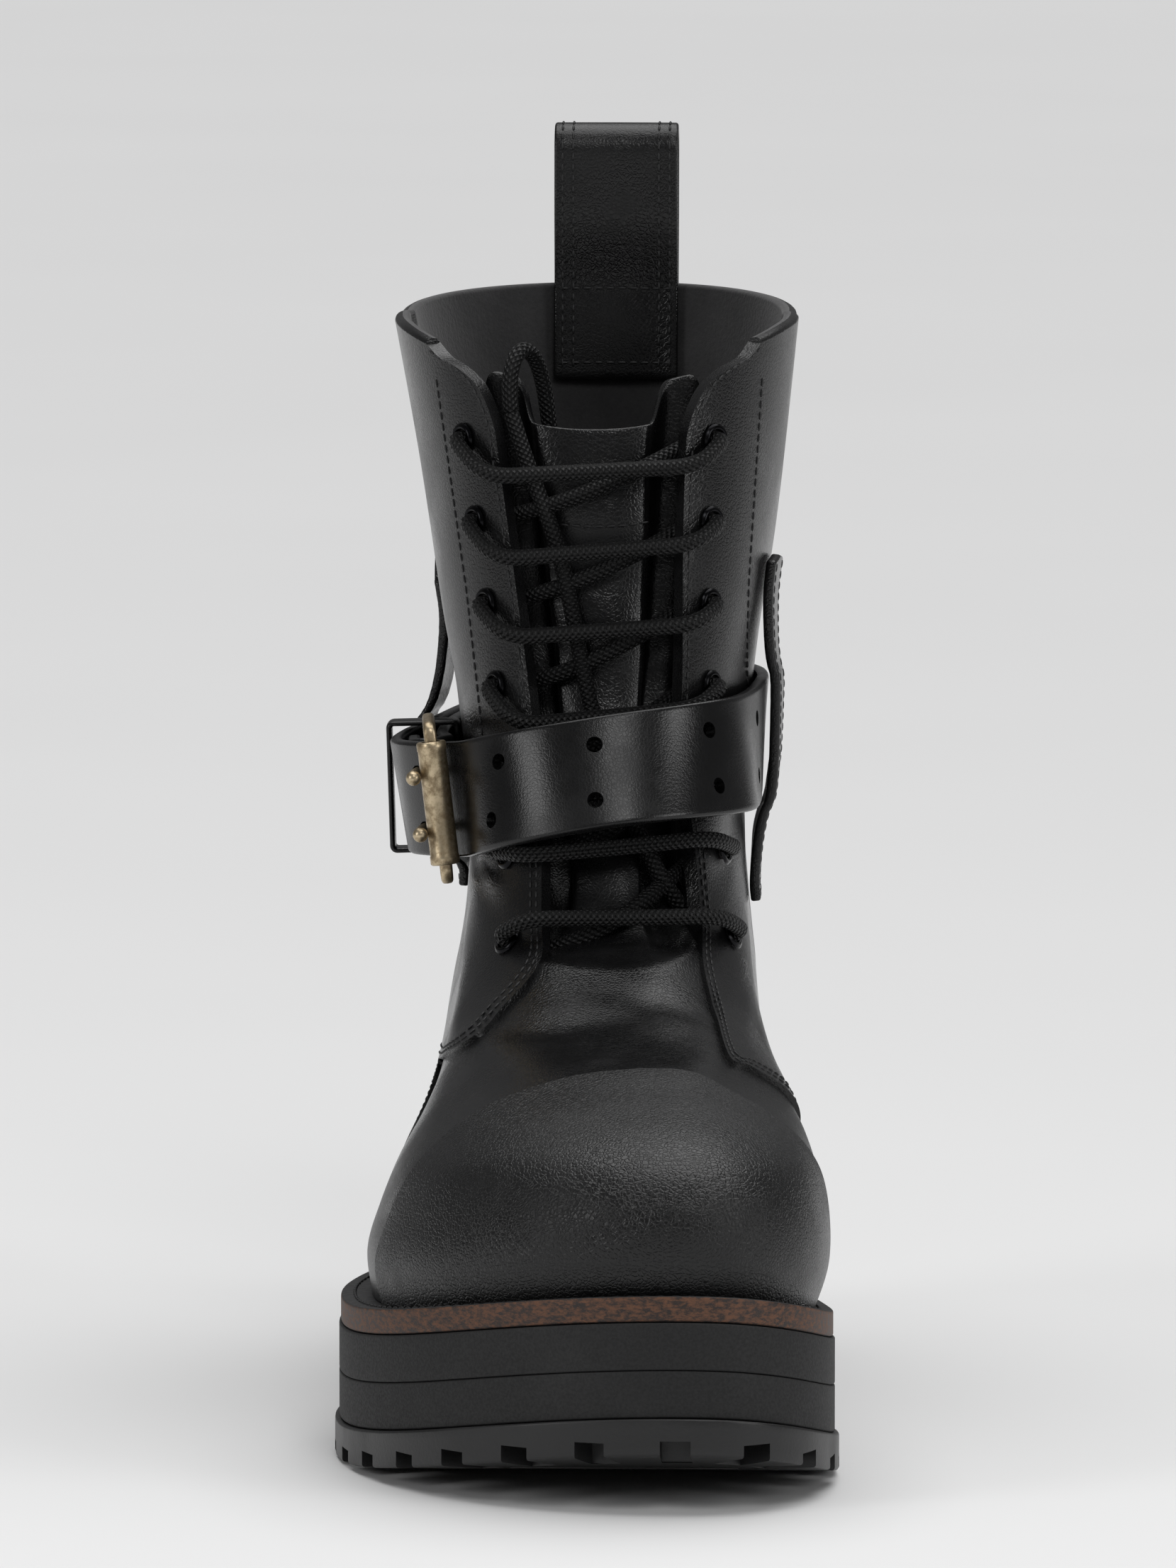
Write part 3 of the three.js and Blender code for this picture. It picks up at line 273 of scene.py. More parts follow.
# Front and its rise, back and its rise, then caps (lateral, medial, back), then half-widths of the ball, waist
# and rear (lateral, medial each), roundings (lateral, medial) and nose, a row for each level
LAST_ROWS = (
    (-0.496, 0.0, 0.5, 0.0, 0.33, 0.19, 0.14, 0.97, 1.0, 0.71, 0.635, 0.635, 0.635, 2.0, 2.5, 0.42),
    (-0.507, 0.049, 0.507, 0.049, 0.33, 0.2, 0.145, 0.99, 1.06, 0.74, 0.69, 0.66, 0.66, 2.0, 2.5, 0.42),
    (-0.503, 0.097, 0.51, 0.099, 0.33, 0.21, 0.15, 0.935, 1.065, 0.74, 0.71, 0.67, 0.67, 2.0, 2.5, 0.42),
    (-0.481, 0.146, 0.51, 0.15, 0.33, 0.22, 0.155, 0.855, 1.035, 0.73, 0.72, 0.66, 0.66, 2.05, 2.4, 0.41),
    (-0.442, 0.184, 0.506, 0.192, 0.33, 0.25, 0.16, 0.765, 0.965, 0.7, 0.71, 0.65, 0.65, 2.05, 2.3, 0.4),
    (-0.395, 0.214, 0.502, 0.23, 0.34, 0.28, 0.17, 0.7, 0.865, 0.68, 0.69, 0.645, 0.645, 2.05, 2.2, 0.39),
    (-0.344, 0.238, 0.496, 0.262, 0.36, 0.33, 0.19, 0.655, 0.77, 0.66, 0.675, 0.635, 0.635, 2.05, 2.15, 0.38),
    (-0.289, 0.262, 0.489, 0.295, 0.38, 0.37, 0.21, 0.625, 0.7, 0.635, 0.655, 0.625, 0.625, 2.05, 2.1, 0.36),
    (-0.194, 0.29, 0.481, 0.335, 0.42, 0.42, 0.25, 0.6, 0.655, 0.615, 0.635, 0.615, 0.615, 2.1, 2.1, 0.25),
    (-0.108, 0.328, 0.475, 0.378, 0.46, 0.46, 0.32, 0.59, 0.625, 0.606, 0.62, 0.606, 0.606, 2.1, 2.1, 0.13),
    (-0.044, 0.377, 0.471, 0.424, 0.49, 0.49, 0.42, 0.596, 0.615, 0.6, 0.615, 0.605, 0.6, 2.15, 2.15, 0.09),
    (0.007, 0.464, 0.469, 0.486, 0.5, 0.5, 0.48, 0.615, 0.62, 0.615, 0.62, 0.615, 0.61, 2.2, 2.2, 0.06),
    (0.041, 0.556, 0.469, 0.566, 0.5, 0.5, 0.48, 0.67, 0.64, 0.67, 0.64, 0.66, 0.64, 2.2, 2.2, 0.02),
    (0.06, 0.652, 0.472, 0.657, 0.5, 0.5, 0.48, 0.735, 0.695, 0.735, 0.695, 0.72, 0.69, 2.2, 2.2, 0.0),
    (0.072, 0.752, 0.476, 0.754, 0.5, 0.5, 0.48, 0.795, 0.75, 0.795, 0.75, 0.78, 0.74, 2.2, 2.2, -0.03),
    (0.083, 0.852, 0.482, 0.852, 0.5, 0.5, 0.48, 0.86, 0.795, 0.86, 0.795, 0.845, 0.785, 2.2, 2.2, -0.05),
    (0.095, 0.975, 0.49, 1.0, 0.5, 0.5, 0.48, 0.96, 0.85, 0.96, 0.85, 0.94, 0.84, 2.2, 2.2, -0.06),
)


class Last:
    """The upper's outer face as a function of level (0 feather line, 16 collar) and turn.

    turn is 0 at the front line and 1 at the back seam, positive on the medial side.
    """

    ROWS = np.array(LAST_ROWS)
    SCALES = np.array(
        [FOOT_LENGTH, COLLAR_RISE] * 2 + [1, 1, 1] + [FOOT_WIDTH / 2] * 6 + [1, 1, FOOT_WIDTH / 2]
    )
    TOP = len(ROWS) - 1

    def rows(self, level: Array) -> Array:
        """Table rows at any levels, by a smooth curve through the table.

        Args:
            level: Levels.

        Returns:
            Rows of sizes in millimetres, with the columns last.
        """
        level = np.clip(level, 0, self.TOP)
        i = np.clip(np.floor(level).astype(int), 0, self.TOP - 1)
        f = (level - i)[..., None]
        a, b, d, e = (self.ROWS[np.clip(i + n, 0, self.TOP)] for n in (-1, 0, 1, 2))
        f2, f3 = f * f, f * f * f
        value = (2 * f3 - 3 * f2 + 1) * b + (f3 - 2 * f2 + f) * (d - a) / 2
        return (value + (3 * f2 - 2 * f3) * d + (f3 - f2) * (e - b) / 2) * self.SCALES

    def face(self, level: Array, turn: Array) -> Array:
        """Points of the outer face.

        Args:
            level: Levels.
            turn: Turns.

        Returns:
            Points, xyz last.
        """
        level, turn = np.broadcast_arrays(np.asarray(level, float), np.asarray(turn, float))
        r = np.moveaxis(self.rows(level), -1, 0)
        plan = Plan(r[0], r[2], *r[4:])
        along = (1 - np.cos(np.pi * np.abs(turn))) / 2
        y = mix(r[0], r[2], along)
        z = STACK_TOP + line_lift(y) + mix(r[1], r[3], along)
        return np.stack([plan.width(y, np.where(turn < 0, -1, 1)), y, z], -1)

    def normal(self, level: Array, turn: Array) -> Array:
        """Directions out of the leather.

        Args:
            level: Levels.
            turn: Turns.

        Returns:
            Unit vectors.
        """
        level, turn = np.broadcast_arrays(np.asarray(level, float), np.asarray(turn, float))
        higher, lower = np.minimum(level + 0.12, self.TOP), np.maximum(level - 0.12, 0)
        up = self.face(higher, turn) - self.face(lower, turn)
        across = self.face(level, within_round(turn + 0.018)) - self.face(level, within_round(turn - 0.018))
        n = np.cross(across, up)
        n /= np.linalg.norm(n, axis=-1, keepdims=True)
        n[..., 2] *= smooth(level)
        return n / np.linalg.norm(n, axis=-1, keepdims=True)

    def skin(self, level: Array, turn: Array, out: Array | float = 0.0) -> Array:
        """Points at a distance off the outer face.

        Args:
            level: Levels.
            turn: Turns.
            out: Distance outwards.

        Returns:
            Points, xyz last.
        """
        level, turn = np.broadcast_arrays(np.asarray(level, float), np.asarray(turn, float))
        face = self.face(level, turn)
        point = face + self.normal(level, turn) * np.broadcast_to(out, level.shape)[..., None]
        point[..., 2] += (line_lift(point[..., 1]) - line_lift(face[..., 1])) * (1 - smooth(level))
        return point

    def level_at(self, z: Array, turn: Array) -> Array:
        """Levels at which the face reaches given heights.

        Args:
            z: Heights.
            turn: Turns.

        Returns:
            Levels.
        """
        z, turn = np.broadcast_arrays(np.asarray(z, float), np.asarray(turn, float))
        return bisected(0.0, float(self.TOP), z.shape, lambda level: self.face(level, turn)[..., 2] < z)

    def front_spot(self, x: Array, z: Array) -> tuple[Array, Array]:
        """Level and turn of points on the front half.

        Args:
            x: Places across.
            z: Heights.

        Returns:
            Levels and turns.
        """
        x, z = np.broadcast_arrays(np.asarray(x, float), np.asarray(z, float))
        turn = bisected(-0.5, 0.5, x.shape, lambda t: self.face(self.level_at(z, t), t)[..., 0] < x)
        return self.level_at(z, turn), turn

    def flank_spot(self, y: Array, z: Array, side: int) -> tuple[Array, Array]:
        """Level and turn of points on one side of the boot.

        Args:
            y: Places along the boot.
            z: Heights.
            side: 1 for medial, -1 for lateral.

        Returns:
            Levels and turns.
        """
        y, z = np.broadcast_arrays(np.asarray(y, float), np.asarray(z, float))
        turn = side * bisected(
            0.1, 0.98, y.shape, lambda t: self.face(self.level_at(z, side * t), side * t)[..., 1] < y
        )
        return self.level_at(z, turn), turn


LAST = Last()


def height_of(rise: Array | float) -> Array:
    """Height of a share of the collar's rise.

    Args:
        rise: Share.

    Returns:
        Height in millimetres.
    """
    return STACK_TOP + np.asarray(rise) * COLLAR_RISE


def side_x(share: Array | float) -> Array:
    """x of a share of half the foot's width.

    Args:
        share: Share.

    Returns:
        x in millimetres.
    """
    return np.asarray(share) * FOOT_WIDTH / 2


def catmull(points: Array, count: int) -> Array:
    """Smooth curve through points.

    Args:
        points: Points to pass through, one row each.
        count: How many points to return.

    Returns:
        Points on the curve, evenly spaced by length.
    """
    p = np.vstack([2 * points[0] - points[1], points, 2 * points[-1] - points[-2]])
    dense = []
    for i in range(1, len(p) - 2):
        t = np.linspace(0, 1, 24, endpoint=i == len(p) - 3)[:, None]
        a, b, c, d = p[i - 1 : i + 3]
        dense.append(
            0.5 * (2 * b + (c - a) * t + (2 * a - 5 * b + 4 * c - d) * t**2 + (3 * b - a - 3 * c + d) * t**3)
        )
    return evenly(np.vstack(dense), count)


def evenly(points: Array, count: int) -> Array:
    """Points spaced evenly along a polyline.

    Args:
        points: The polyline.
        count: How many points to return.

    Returns:
        The resampled polyline.
    """
    walked = np.concatenate([[0], np.cumsum(np.linalg.norm(np.diff(points, axis=0), axis=1))])
    at = np.linspace(0, walked[-1], count)
    return np.stack([np.interp(at, walked, points[:, k]) for k in range(points.shape[1])], 1)


@dataclass
class Mesh:
    """Vertices and faces that are gathered before an object is made."""

    verts: list[Array] = field(default_factory=list)
    faces: list[tuple[int, ...]] = field(default_factory=list)
    attributes: dict[str, list[Array]] = field(default_factory=dict)
    count: int = 0

    def add(self, verts: Array, faces: Iterable[Sequence[int]], **attributes: Array) -> None:
        """Adds vertices and the faces between them.

        Args:
            verts: Points in millimetres.
            faces: Index rows that start at 0 for these vertices.
            **attributes: One value for each vertex.
        """
        verts = np.asarray(verts, float).reshape(-1, 3)
        self.verts.append(verts)
        self.faces.extend(tuple(int(i) + self.count for i in row) for row in faces)
        for name, values in attributes.items():
            self.attributes.setdefault(name, []).append(np.asarray(values, float).reshape(-1))
        self.count += len(verts)

    def grid(self, points: Array, closed: bool = False, flip: bool = False, **attributes: Array) -> None:
        """Adds a grid of quads.

        Args:
            points: Points by row and column.
            closed: Whether the last column joins the first.
            flip: Whether the faces look the other way.
            **attributes: One value for each point.
        """
        rows, cols = points.shape[:2]
        i, j = np.meshgrid(np.arange(rows - 1), np.arange(cols if closed else cols - 1), indexing="ij")
        k = (j + 1) % cols
        quads = np.stack([i * cols + j, i * cols + k, (i + 1) * cols + k, (i + 1) * cols + j], -1)
        quads = quads.reshape(-1, 4)
        self.add(points, quads[:, ::-1] if flip else quads, **attributes)

    def sheet(self, outer: Array, inner: Array, **attributes: Array) -> None:
        """Adds a sheet with thickness: two faces joined round their border.

        Args:
            outer: Outer points by row and column.
            inner: Inner points by row and column.
            **attributes: One value for each outer point, used on both faces.
        """
        rows, cols = outer.shape[:2]
        n = rows * cols
        i, j = np.meshgrid(np.arange(rows - 1), np.arange(cols - 1), indexing="ij")
        quads = np.stack([i * cols + j, i * cols + j + 1, (i + 1) * cols + j + 1, (i + 1) * cols + j], -1)
        quads = quads.reshape(-1, 4)
        border = list(range(cols - 1))
        border += [i * cols + cols - 1 for i in range(rows - 1)]
        border += [(rows - 1) * cols + j for j in range(cols - 1, 0, -1)]
        border += [i * cols for i in range(rows - 1, 0, -1)]
        ring = [(a, b) for a, b in zip(border, border[1:] + border[:1])]
        sides = [(b, a, a + n, b + n) for a, b in ring]
        both = {name: np.concatenate([np.ravel(v), np.ravel(v)]) for name, v in attributes.items()}
        verts = np.concatenate([outer.reshape(-1, 3), inner.reshape(-1, 3)])
        self.add(verts, [*quads, *(quads[:, ::-1] + n), *sides], **both)

    def tube(self, path: Array, radius: Array | float, sides: int = 12, caps: bool = True) -> None:
        """Adds a round tube along a path, with how far along and round it as attributes.

        Args:
            path: Points of the middle line.
            radius: Radius, or one for each point.
            sides: Sides of the section.
            caps: Whether the ends are closed by rounded caps.
        """
        radius = np.broadcast_to(radius, len(path)).astype(float)
        if caps:
            head, tail = path[0] - path[1], path[-1] - path[-2]
            head, tail = head / np.linalg.norm(head), tail / np.linalg.norm(tail)
            path = np.vstack([path[0] + head * radius[0] * 0.35, path, path[-1] + tail * radius[-1] * 0.35])
            radius = np.concatenate([[radius[0] * 0.55], radius, [radius[-1] * 0.55]])
        along = np.gradient(path, axis=0)
        along /= np.linalg.norm(along, axis=1, keepdims=True)
        walked = np.concatenate([[0], np.cumsum(np.linalg.norm(np.diff(path, axis=0), axis=1))])
        across = np.zeros_like(path)
        seed = np.array([0.0, 0.0, 1.0]) if abs(along[0][2]) < 0.9 else np.array([1.0, 0.0, 0.0])
        for n, t in enumerate(along):
            seed = seed - t * seed.dot(t)
            seed /= np.linalg.norm(seed)
            across[n] = seed
        other = np.cross(along, across)
        angle = np.linspace(0, 2 * np.pi, sides, endpoint=False)
        rim = np.cos(angle)[None, :, None] * across[:, None] + np.sin(angle)[None, :, None] * other[:, None]
        points = path[:, None] + rim * radius[:, None, None]
        start = self.count
        self.grid(
            points,
            closed=True,
            flip=True,
            along=np.broadcast_to(walked[:, None], points.shape[:2]),
            round=np.broadcast_to(angle[None], points.shape[:2]),
        )
        last = start + (len(path) - 1) * sides
        self.faces.append(tuple(range(start, start + sides)))
        self.faces.append(tuple(reversed(range(last, last + sides))))

    def build(self, name: str, material: bpy.types.Material, flat: bool = False) -> bpy.types.Object:
        """Makes the object.

        Args:
            name: Object name.
            material: Its material.
            flat: Whether the faces stay unsmoothed.

        Returns:
            The object, linked to the scene.
        """
        data = bpy.data.meshes.new(name)
        verts = np.concatenate(self.verts) * MM
        data.from_pydata(verts.tolist(), [], self.faces)
        for key, values in self.attributes.items():
            joined = np.concatenate(values)
            if len(joined) == len(verts):
                layer = data.attributes.new(key, "FLOAT", "POINT")
                layer.data.foreach_set("value", joined)
        data.validate()
        data.polygons.foreach_set("use_smooth", [not flat] * len(data.polygons))
        data.materials.append(material)
        obj = bpy.data.objects.new(name, data)
        bpy.context.scene.collection.objects.link(obj)
        return obj


# Materials


class Shader:
    """A material or a node group, with short calls for its nodes."""

    def __init__(self, tree: bpy.types.NodeTree) -> None:
        """Keeps the tree.

        Args:
            tree: Node tree to fill.
        """
        self.tree = tree

    def node(self, kind: str, **values: object) -> bpy.types.Node:
        """Adds a node.

        Args:
            kind: Node type without its ShaderNode prefix.
            **values: Properties, or inputs by name with spaces as underscores.

        Returns:
            The node.
        """
        made = self.tree.nodes.new("ShaderNode" + kind)
        for key, value in values.items():
            name = key.replace("_", " ")
            if hasattr(made, key) and name not in made.inputs:
                setattr(made, key, value)
            else:
                self.plug(made.inputs[name], value)
        return made

    def plug(self, socket: bpy.types.NodeSocket, value: object) -> None:
        """Sets or links an input.

        Args:
            socket: The input.
            value: A number, a colour or an output socket.
        """
        if isinstance(value, bpy.types.NodeSocket):
            self.tree.links.new(value, socket)
        else:
            socket.default_value = value

    def math(self, operation: str, *values: object) -> bpy.types.NodeSocket:
        """Adds a Math node.

        Args:
            operation: Its operation.
            *values: Its inputs.

        Returns:
            The result.
        """
        made = self.tree.nodes.new("ShaderNodeMath")
        made.operation = operation
        for socket, value in zip(made.inputs, values):
            self.plug(socket, value)
        return made.outputs[0]

    def ramp(
        self, value: object, low: float, high: float, a: float = 0.0, b: float = 1.0
    ) -> bpy.types.NodeSocket:
        """Maps a range onto another one, smoothly.

        Args:
            value: Input.
            low: Start of the input's range.
            high: End of the input's range.
            a: Result at low.
            b: Result at high.

        Returns:
            The result.
        """
        made = self.node("MapRange", interpolation_type="SMOOTHSTEP")
        for name, v in zip(("Value", "From Min", "From Max", "To Min", "To Max"), (value, low, high, a, b)):
            self.plug(made.inputs[name], v)
        return made.outputs["Result"]

    def blend(self, factor: object, a: object, b: object) -> bpy.types.NodeSocket:
        """Mixes two colours.

        Args:
            factor: Share of b.
            a: First colour.
            b: Second colour.

        Returns:
            The colour.
        """
        made = self.node("Mix", data_type="RGBA")
        for index, value in ((0, factor), (6, a), (7, b)):
            self.plug(made.inputs[index], value)
        return made.outputs[2]

    def noise(
        self, place: object, scale: float, detail: float = 2.0, rough: float = 0.5
    ) -> bpy.types.NodeSocket:
        """Noise over a place.

        Args:
            place: Coordinates in metres.
            scale: Cells in each metre.
            detail: Octaves.
            rough: Weight of the finer octaves.

        Returns:
            Noise from 0 to 1.
        """
        made = self.node("TexNoise", Vector=place, Scale=scale, Detail=detail, Roughness=rough)
        return made.outputs["Fac"]

    def place(self) -> bpy.types.NodeSocket:
        """Object coordinates in metres.

        Returns:
            The coordinates.
        """
        return self.node("TexCoord").outputs["Object"]


def group(
    name: str, inputs: Sequence[str], outputs: Sequence[str]
) -> tuple[Shader, bpy.types.Node, bpy.types.Node]:
    """Starts a shader node group of plain values.

    Args:
        name: Its name.
        inputs: Names of its value inputs; Place is a vector.
        outputs: Names of its value outputs.

    Returns:
        The shader, the group's input node and its output node.
    """
    tree = bpy.data.node_groups.new(name, "ShaderNodeTree")
    for key in inputs:
        kind = "NodeSocketVector" if key == "Place" else "NodeSocketFloat"
        tree.interface.new_socket(key, in_out="INPUT", socket_type=kind)
    for key in outputs:
        tree.interface.new_socket(key, in_out="OUTPUT", socket_type="NodeSocketFloat")
    return Shader(tree), tree.nodes.new("NodeGroupInput"), tree.nodes.new("NodeGroupOutput")


def grain_group() -> bpy.types.NodeTree:
    """Leather grain: small pebbles with creases between them and a slow sheen.

    Returns:
        A group with Height and Sheen from Place and Scale.
    """
    s, start, end = group("LeatherGrain", ("Place", "Scale"), ("Height", "Sheen"))
    place, scale = start.outputs["Place"], start.outputs["Scale"]
    coarse = s.math("MULTIPLY", scale, 0.35)
    warp = s.node("TexNoise", Vector=place, Scale=coarse, Detail=2.0).outputs["Color"]
    bent = s.node("VectorMath", operation="MULTIPLY_ADD")
    s.plug(bent.inputs[0], warp)
    bent.inputs[1].default_value = (0.0016, 0.0016, 0.0016)
    s.plug(bent.inputs[2], place)
    cells = s.node("TexVoronoi", feature="DISTANCE_TO_EDGE", Vector=bent.outputs[0], Scale=scale)
    pebble = s.ramp(cells.outputs["Distance"], 0.0, 0.22)
    fine = s.node("TexNoise", Vector=place, Scale=s.math("MULTIPLY", scale, 2.6), Detail=3.0).outputs["Fac"]
    height = s.math("ADD", s.math("MULTIPLY", pebble, 0.65), s.math("MULTIPLY", fine, 0.35))
    s.plug(end.inputs["Height"], height)
    slow = s.node("TexNoise", Vector=place, Scale=28.0, Detail=4.0, Roughness=0.6).outputs["Fac"]
    s.plug(end.inputs["Sheen"], s.ramp(slow, 0.32, 0.68))
    return s.tree


def braid_group() -> bpy.types.NodeTree:
    """Braid of a round cord, from the way along it and round it.

    Returns:
        A group with Height and Gap.
    """
    s, start, end = group("CordBraid", ("Along", "Round"), ("Height", "GapShade"))
    turns = s.math("MULTIPLY", start.outputs["Along"], 2 * math.pi / 2.9)
    around = s.math("MULTIPLY", start.outputs["Round"], 4.0)
    left = s.math("ABSOLUTE", s.math("SINE", s.math("ADD", turns, around)))
    right = s.math("ABSOLUTE", s.math("SINE", s.math("SUBTRACT", turns, around)))
    height = s.math("MULTIPLY", left, right)
    s.plug(end.inputs["Height"], s.math("POWER", height, 0.45))
    # Painted shade: 1 where the strands dip apart, to darken the base colour there.
    s.plug(end.inputs["GapShade"], s.ramp(height, 0.0, 0.16, 1.0, 0.0))
    return s.tree


def toned(color: Color, share: float) -> tuple[float, ...]:
    """A colour made darker or lighter, with its alpha."""
    return tuple(c * share for c in color) + (1.0,)


class Finish:
    """The scene's materials, made once each."""

    def __init__(self) -> None:
        """Makes the groups and every material."""
        self.grain = grain_group()
        self.braid = braid_group()
        self.upper = self._leather("UpperLeather", (0.0045, 0.0045, 0.0047), 0.29, 1050.0, 0.14)
        self.cap = self._leather("CapLeather", (0.0058, 0.0058, 0.006), 0.4, 1000.0, 0.34)
        self.belt = self._leather("BeltLeather", (0.0042, 0.0042, 0.0044), 0.31, 1200.0, 0.06)
        self.edge = self._leather("RawEdge", (0.02, 0.019, 0.019), 0.75, 1500.0, 0.4)
        self.lining = self._suede()
        self.foam = self._foam()
        self.rubber = self._rubber()
        self.welt = self._welt()
        self.cord = self._cord()
        self.thread = self._plain("Thread", (0.009, 0.009, 0.0095), 0.55, 0.0, 4000.0)
        self.metal = self._plain("BlackMetal", (0.012, 0.012, 0.013), 0.22, 1.0, 300.0)
        self.brass = self._brass()
        self.floor = self._floor()

    def _start(self, name: str) -> tuple[bpy.types.Material, Shader, bpy.types.Node]:
        """Starts a material on one Principled shader.

        Args:
            name: Material name.

        Returns:
            The material, its shader tree and the Principled node.
        """
        made = bpy.data.materials.new(name)
        made.use_nodes = True
        made.node_tree.nodes.clear()
        s = Shader(made.node_tree)
        principled = s.node("BsdfPrincipled")
        out = s.node("OutputMaterial")
        s.tree.links.new(principled.outputs[0], out.inputs["Surface"])
        return made, s, principled

    def _use(self, s: Shader, tree: bpy.types.NodeTree, **values: object) -> bpy.types.Node:
        """Adds a group node.

        Args:
            s: Shader to add it to.
            tree: The group.
            **values: Its inputs.

        Returns:
            The node.
        """
        made = s.tree.nodes.new("ShaderNodeGroup")
        made.node_tree = tree
        for key, value in values.items():
            s.plug(made.inputs[key], value)
        return made

    def _bump(
        self, s: Shader, shader: bpy.types.Node, height: object, strength: float, distance: float
    ) -> None:
        """Links a bump to a shader.

        Args:
            s: Shader tree.
            shader: Principled node.
            height: Height value.
            strength: Bump strength.
            distance: Bump distance in metres.
        """
        bump = s.node("Bump", Strength=strength, Distance=distance, Height=height)
        s.plug(shader.inputs["Normal"], bump.outputs[0])

    def _leather(
        self, name: str, color: Color, rough: float, scale: float, bump: float
    ) -> bpy.types.Material:
        """Black leather with grain.

        Args:
            name: Material name.
            color: Base colour.
            rough: Roughness.
            scale: Grain cells in each metre.
            bump: Bump strength.

        Returns:
            The material.
        """
        made, s, shader = self._start(name)
        place = s.place()
        grain = self._use(s, self.grain, Place=place, Scale=scale)
        tone = s.blend(grain.outputs["Sheen"], toned(color, 0.72), toned(color, 1.35))
        s.plug(shader.inputs["Base Color"], tone)
        sheen = s.ramp(grain.outputs["Sheen"], 0.0, 1.0, rough - 0.05, rough + 0.08)
        polish = s.math("MULTIPLY", grain.outputs["Height"], 0.07)
        s.plug(shader.inputs["Roughness"], s.math("SUBTRACT", sheen, polish))
        shader.inputs["Specular IOR Level"].default_value = 0.38
        self._bump(s, shader, grain.outputs["Height"], bump, 0.0006)
        return made

    def _suede(self) -> bpy.types.Material:
        """Dark grey suede lining.

        Returns:
            The material.
        """
        made, s, shader = self._start("SuedeLining")
        place = s.place()
        nap = s.noise(place, 900.0, 4.0, 0.7)
        patch = s.ramp(s.noise(place, 60.0, 3.0), 0.35, 0.65)
        mixed = s.math("ADD", s.math("MULTIPLY", nap, 0.7), s.math("MULTIPLY", patch, 0.3))
        tone = s.blend(mixed, (0.012, 0.012, 0.0125, 1), (0.045, 0.044, 0.045, 1))
        s.plug(shader.inputs["Base Color"], tone)
        shader.inputs["Roughness"].default_value = 0.9
        shader.inputs["Sheen Weight"].default_value = 0.25
        self._bump(s, shader, nap, 0.5, 0.0005)
        return made

    def _foam(self) -> bpy.types.Material:
        """Matt black foam rubber with a fine cell texture.

        Returns:
            The material.
        """
        made, s, shader = self._start("MidsoleFoam")
        place = s.place()
        fine = s.noise(place, 1500.0, 3.0, 0.6)
        dust = s.ramp(s.noise(place, 45.0, 5.0, 0.6), 0.4, 0.75)
        tone = s.blend(dust, (0.0045, 0.0045, 0.0048, 1), (0.0085, 0.0085, 0.0088, 1))
        s.plug(shader.inputs["Base Color"], tone)
        s.plug(shader.inputs["Roughness"], s.ramp(fine, 0.3, 0.7, 0.62, 0.78))
        self._bump(s, shader, fine, 0.25, 0.0003)
        return made

    def _rubber(self) -> bpy.types.Material:
        """Satin outsole rubber.

        Returns:
            The material.
        """
        made, s, shader = self._start("OutsoleRubber")
        place = s.place()
        fine = s.noise(place, 1100.0, 2.0)
        slow = s.ramp(s.noise(place, 32.0, 4.0), 0.35, 0.7)
        tone = s.blend(slow, (0.006, 0.006, 0.0063, 1), (0.012, 0.012, 0.0124, 1))
        s.plug(shader.inputs["Base Color"], tone)
        s.plug(shader.inputs["Roughness"], s.ramp(slow, 0.0, 1.0, 0.38, 0.52))
        self._bump(s, shader, fine, 0.18, 0.0003)
        return made

    def _welt(self) -> bpy.types.Material:
        """Black welt leather whose cut edge is speckled brown.

        Returns:
            The material.
        """
        made, s, shader = self._start("WeltLeather")
        place = s.place()
        normal = s.node("SeparateXYZ", Vector=s.node("NewGeometry").outputs["Normal"])
        top = s.ramp(s.math("ABSOLUTE", normal.outputs["Z"]), 0.45, 0.8)
        squash = s.node("Mapping", Vector=place)
        squash.inputs["Scale"].default_value = (1.0, 1.0, 2.2)
        speck = s.noise(squash.outputs[0], 520.0, 4.0, 0.75)
        brown = s.blend(s.ramp(speck, 0.38, 0.64), (0.014, 0.008, 0.006, 1), (0.12, 0.05, 0.023, 1))
        s.plug(shader.inputs["Base Color"], s.blend(top, brown, (0.014, 0.014, 0.0145, 1)))
        s.plug(shader.inputs["Roughness"], s.ramp(speck, 0.3, 0.7, 0.5, 0.66))
        self._bump(s, shader, speck, 0.3, 0.0004)
        return made

    def _cord(self) -> bpy.types.Material:
        """Black braided cord, with painted shade darkening the braid's gaps.

        Returns:
            The material.
        """
        made, s, shader = self._start("BraidedCord")
        braid = self._use(
            s,
            self.braid,
            Along=s.node("Attribute", attribute_name="along").outputs["Fac"],
            Round=s.node("Attribute", attribute_name="round").outputs["Fac"],
        )
        fuzz = s.noise(s.place(), 2600.0, 2.0)
        # The base colour goes near black in the braid's gaps: painted shade between the strands.
        base = s.blend(braid.outputs["GapShade"], (0.0065, 0.0065, 0.0068, 1), (0.0008, 0.0008, 0.0008, 1))
        s.plug(shader.inputs["Base Color"], base)
        s.plug(shader.inputs["Roughness"], s.ramp(fuzz, 0.3, 0.7, 0.4, 0.55))
        shader.inputs["Specular IOR Level"].default_value = 0.3
        height = s.math("ADD", braid.outputs["Height"], s.math("MULTIPLY", fuzz, 0.06))
        self._bump(s, shader, height, 1.0, 0.0011)
        return made

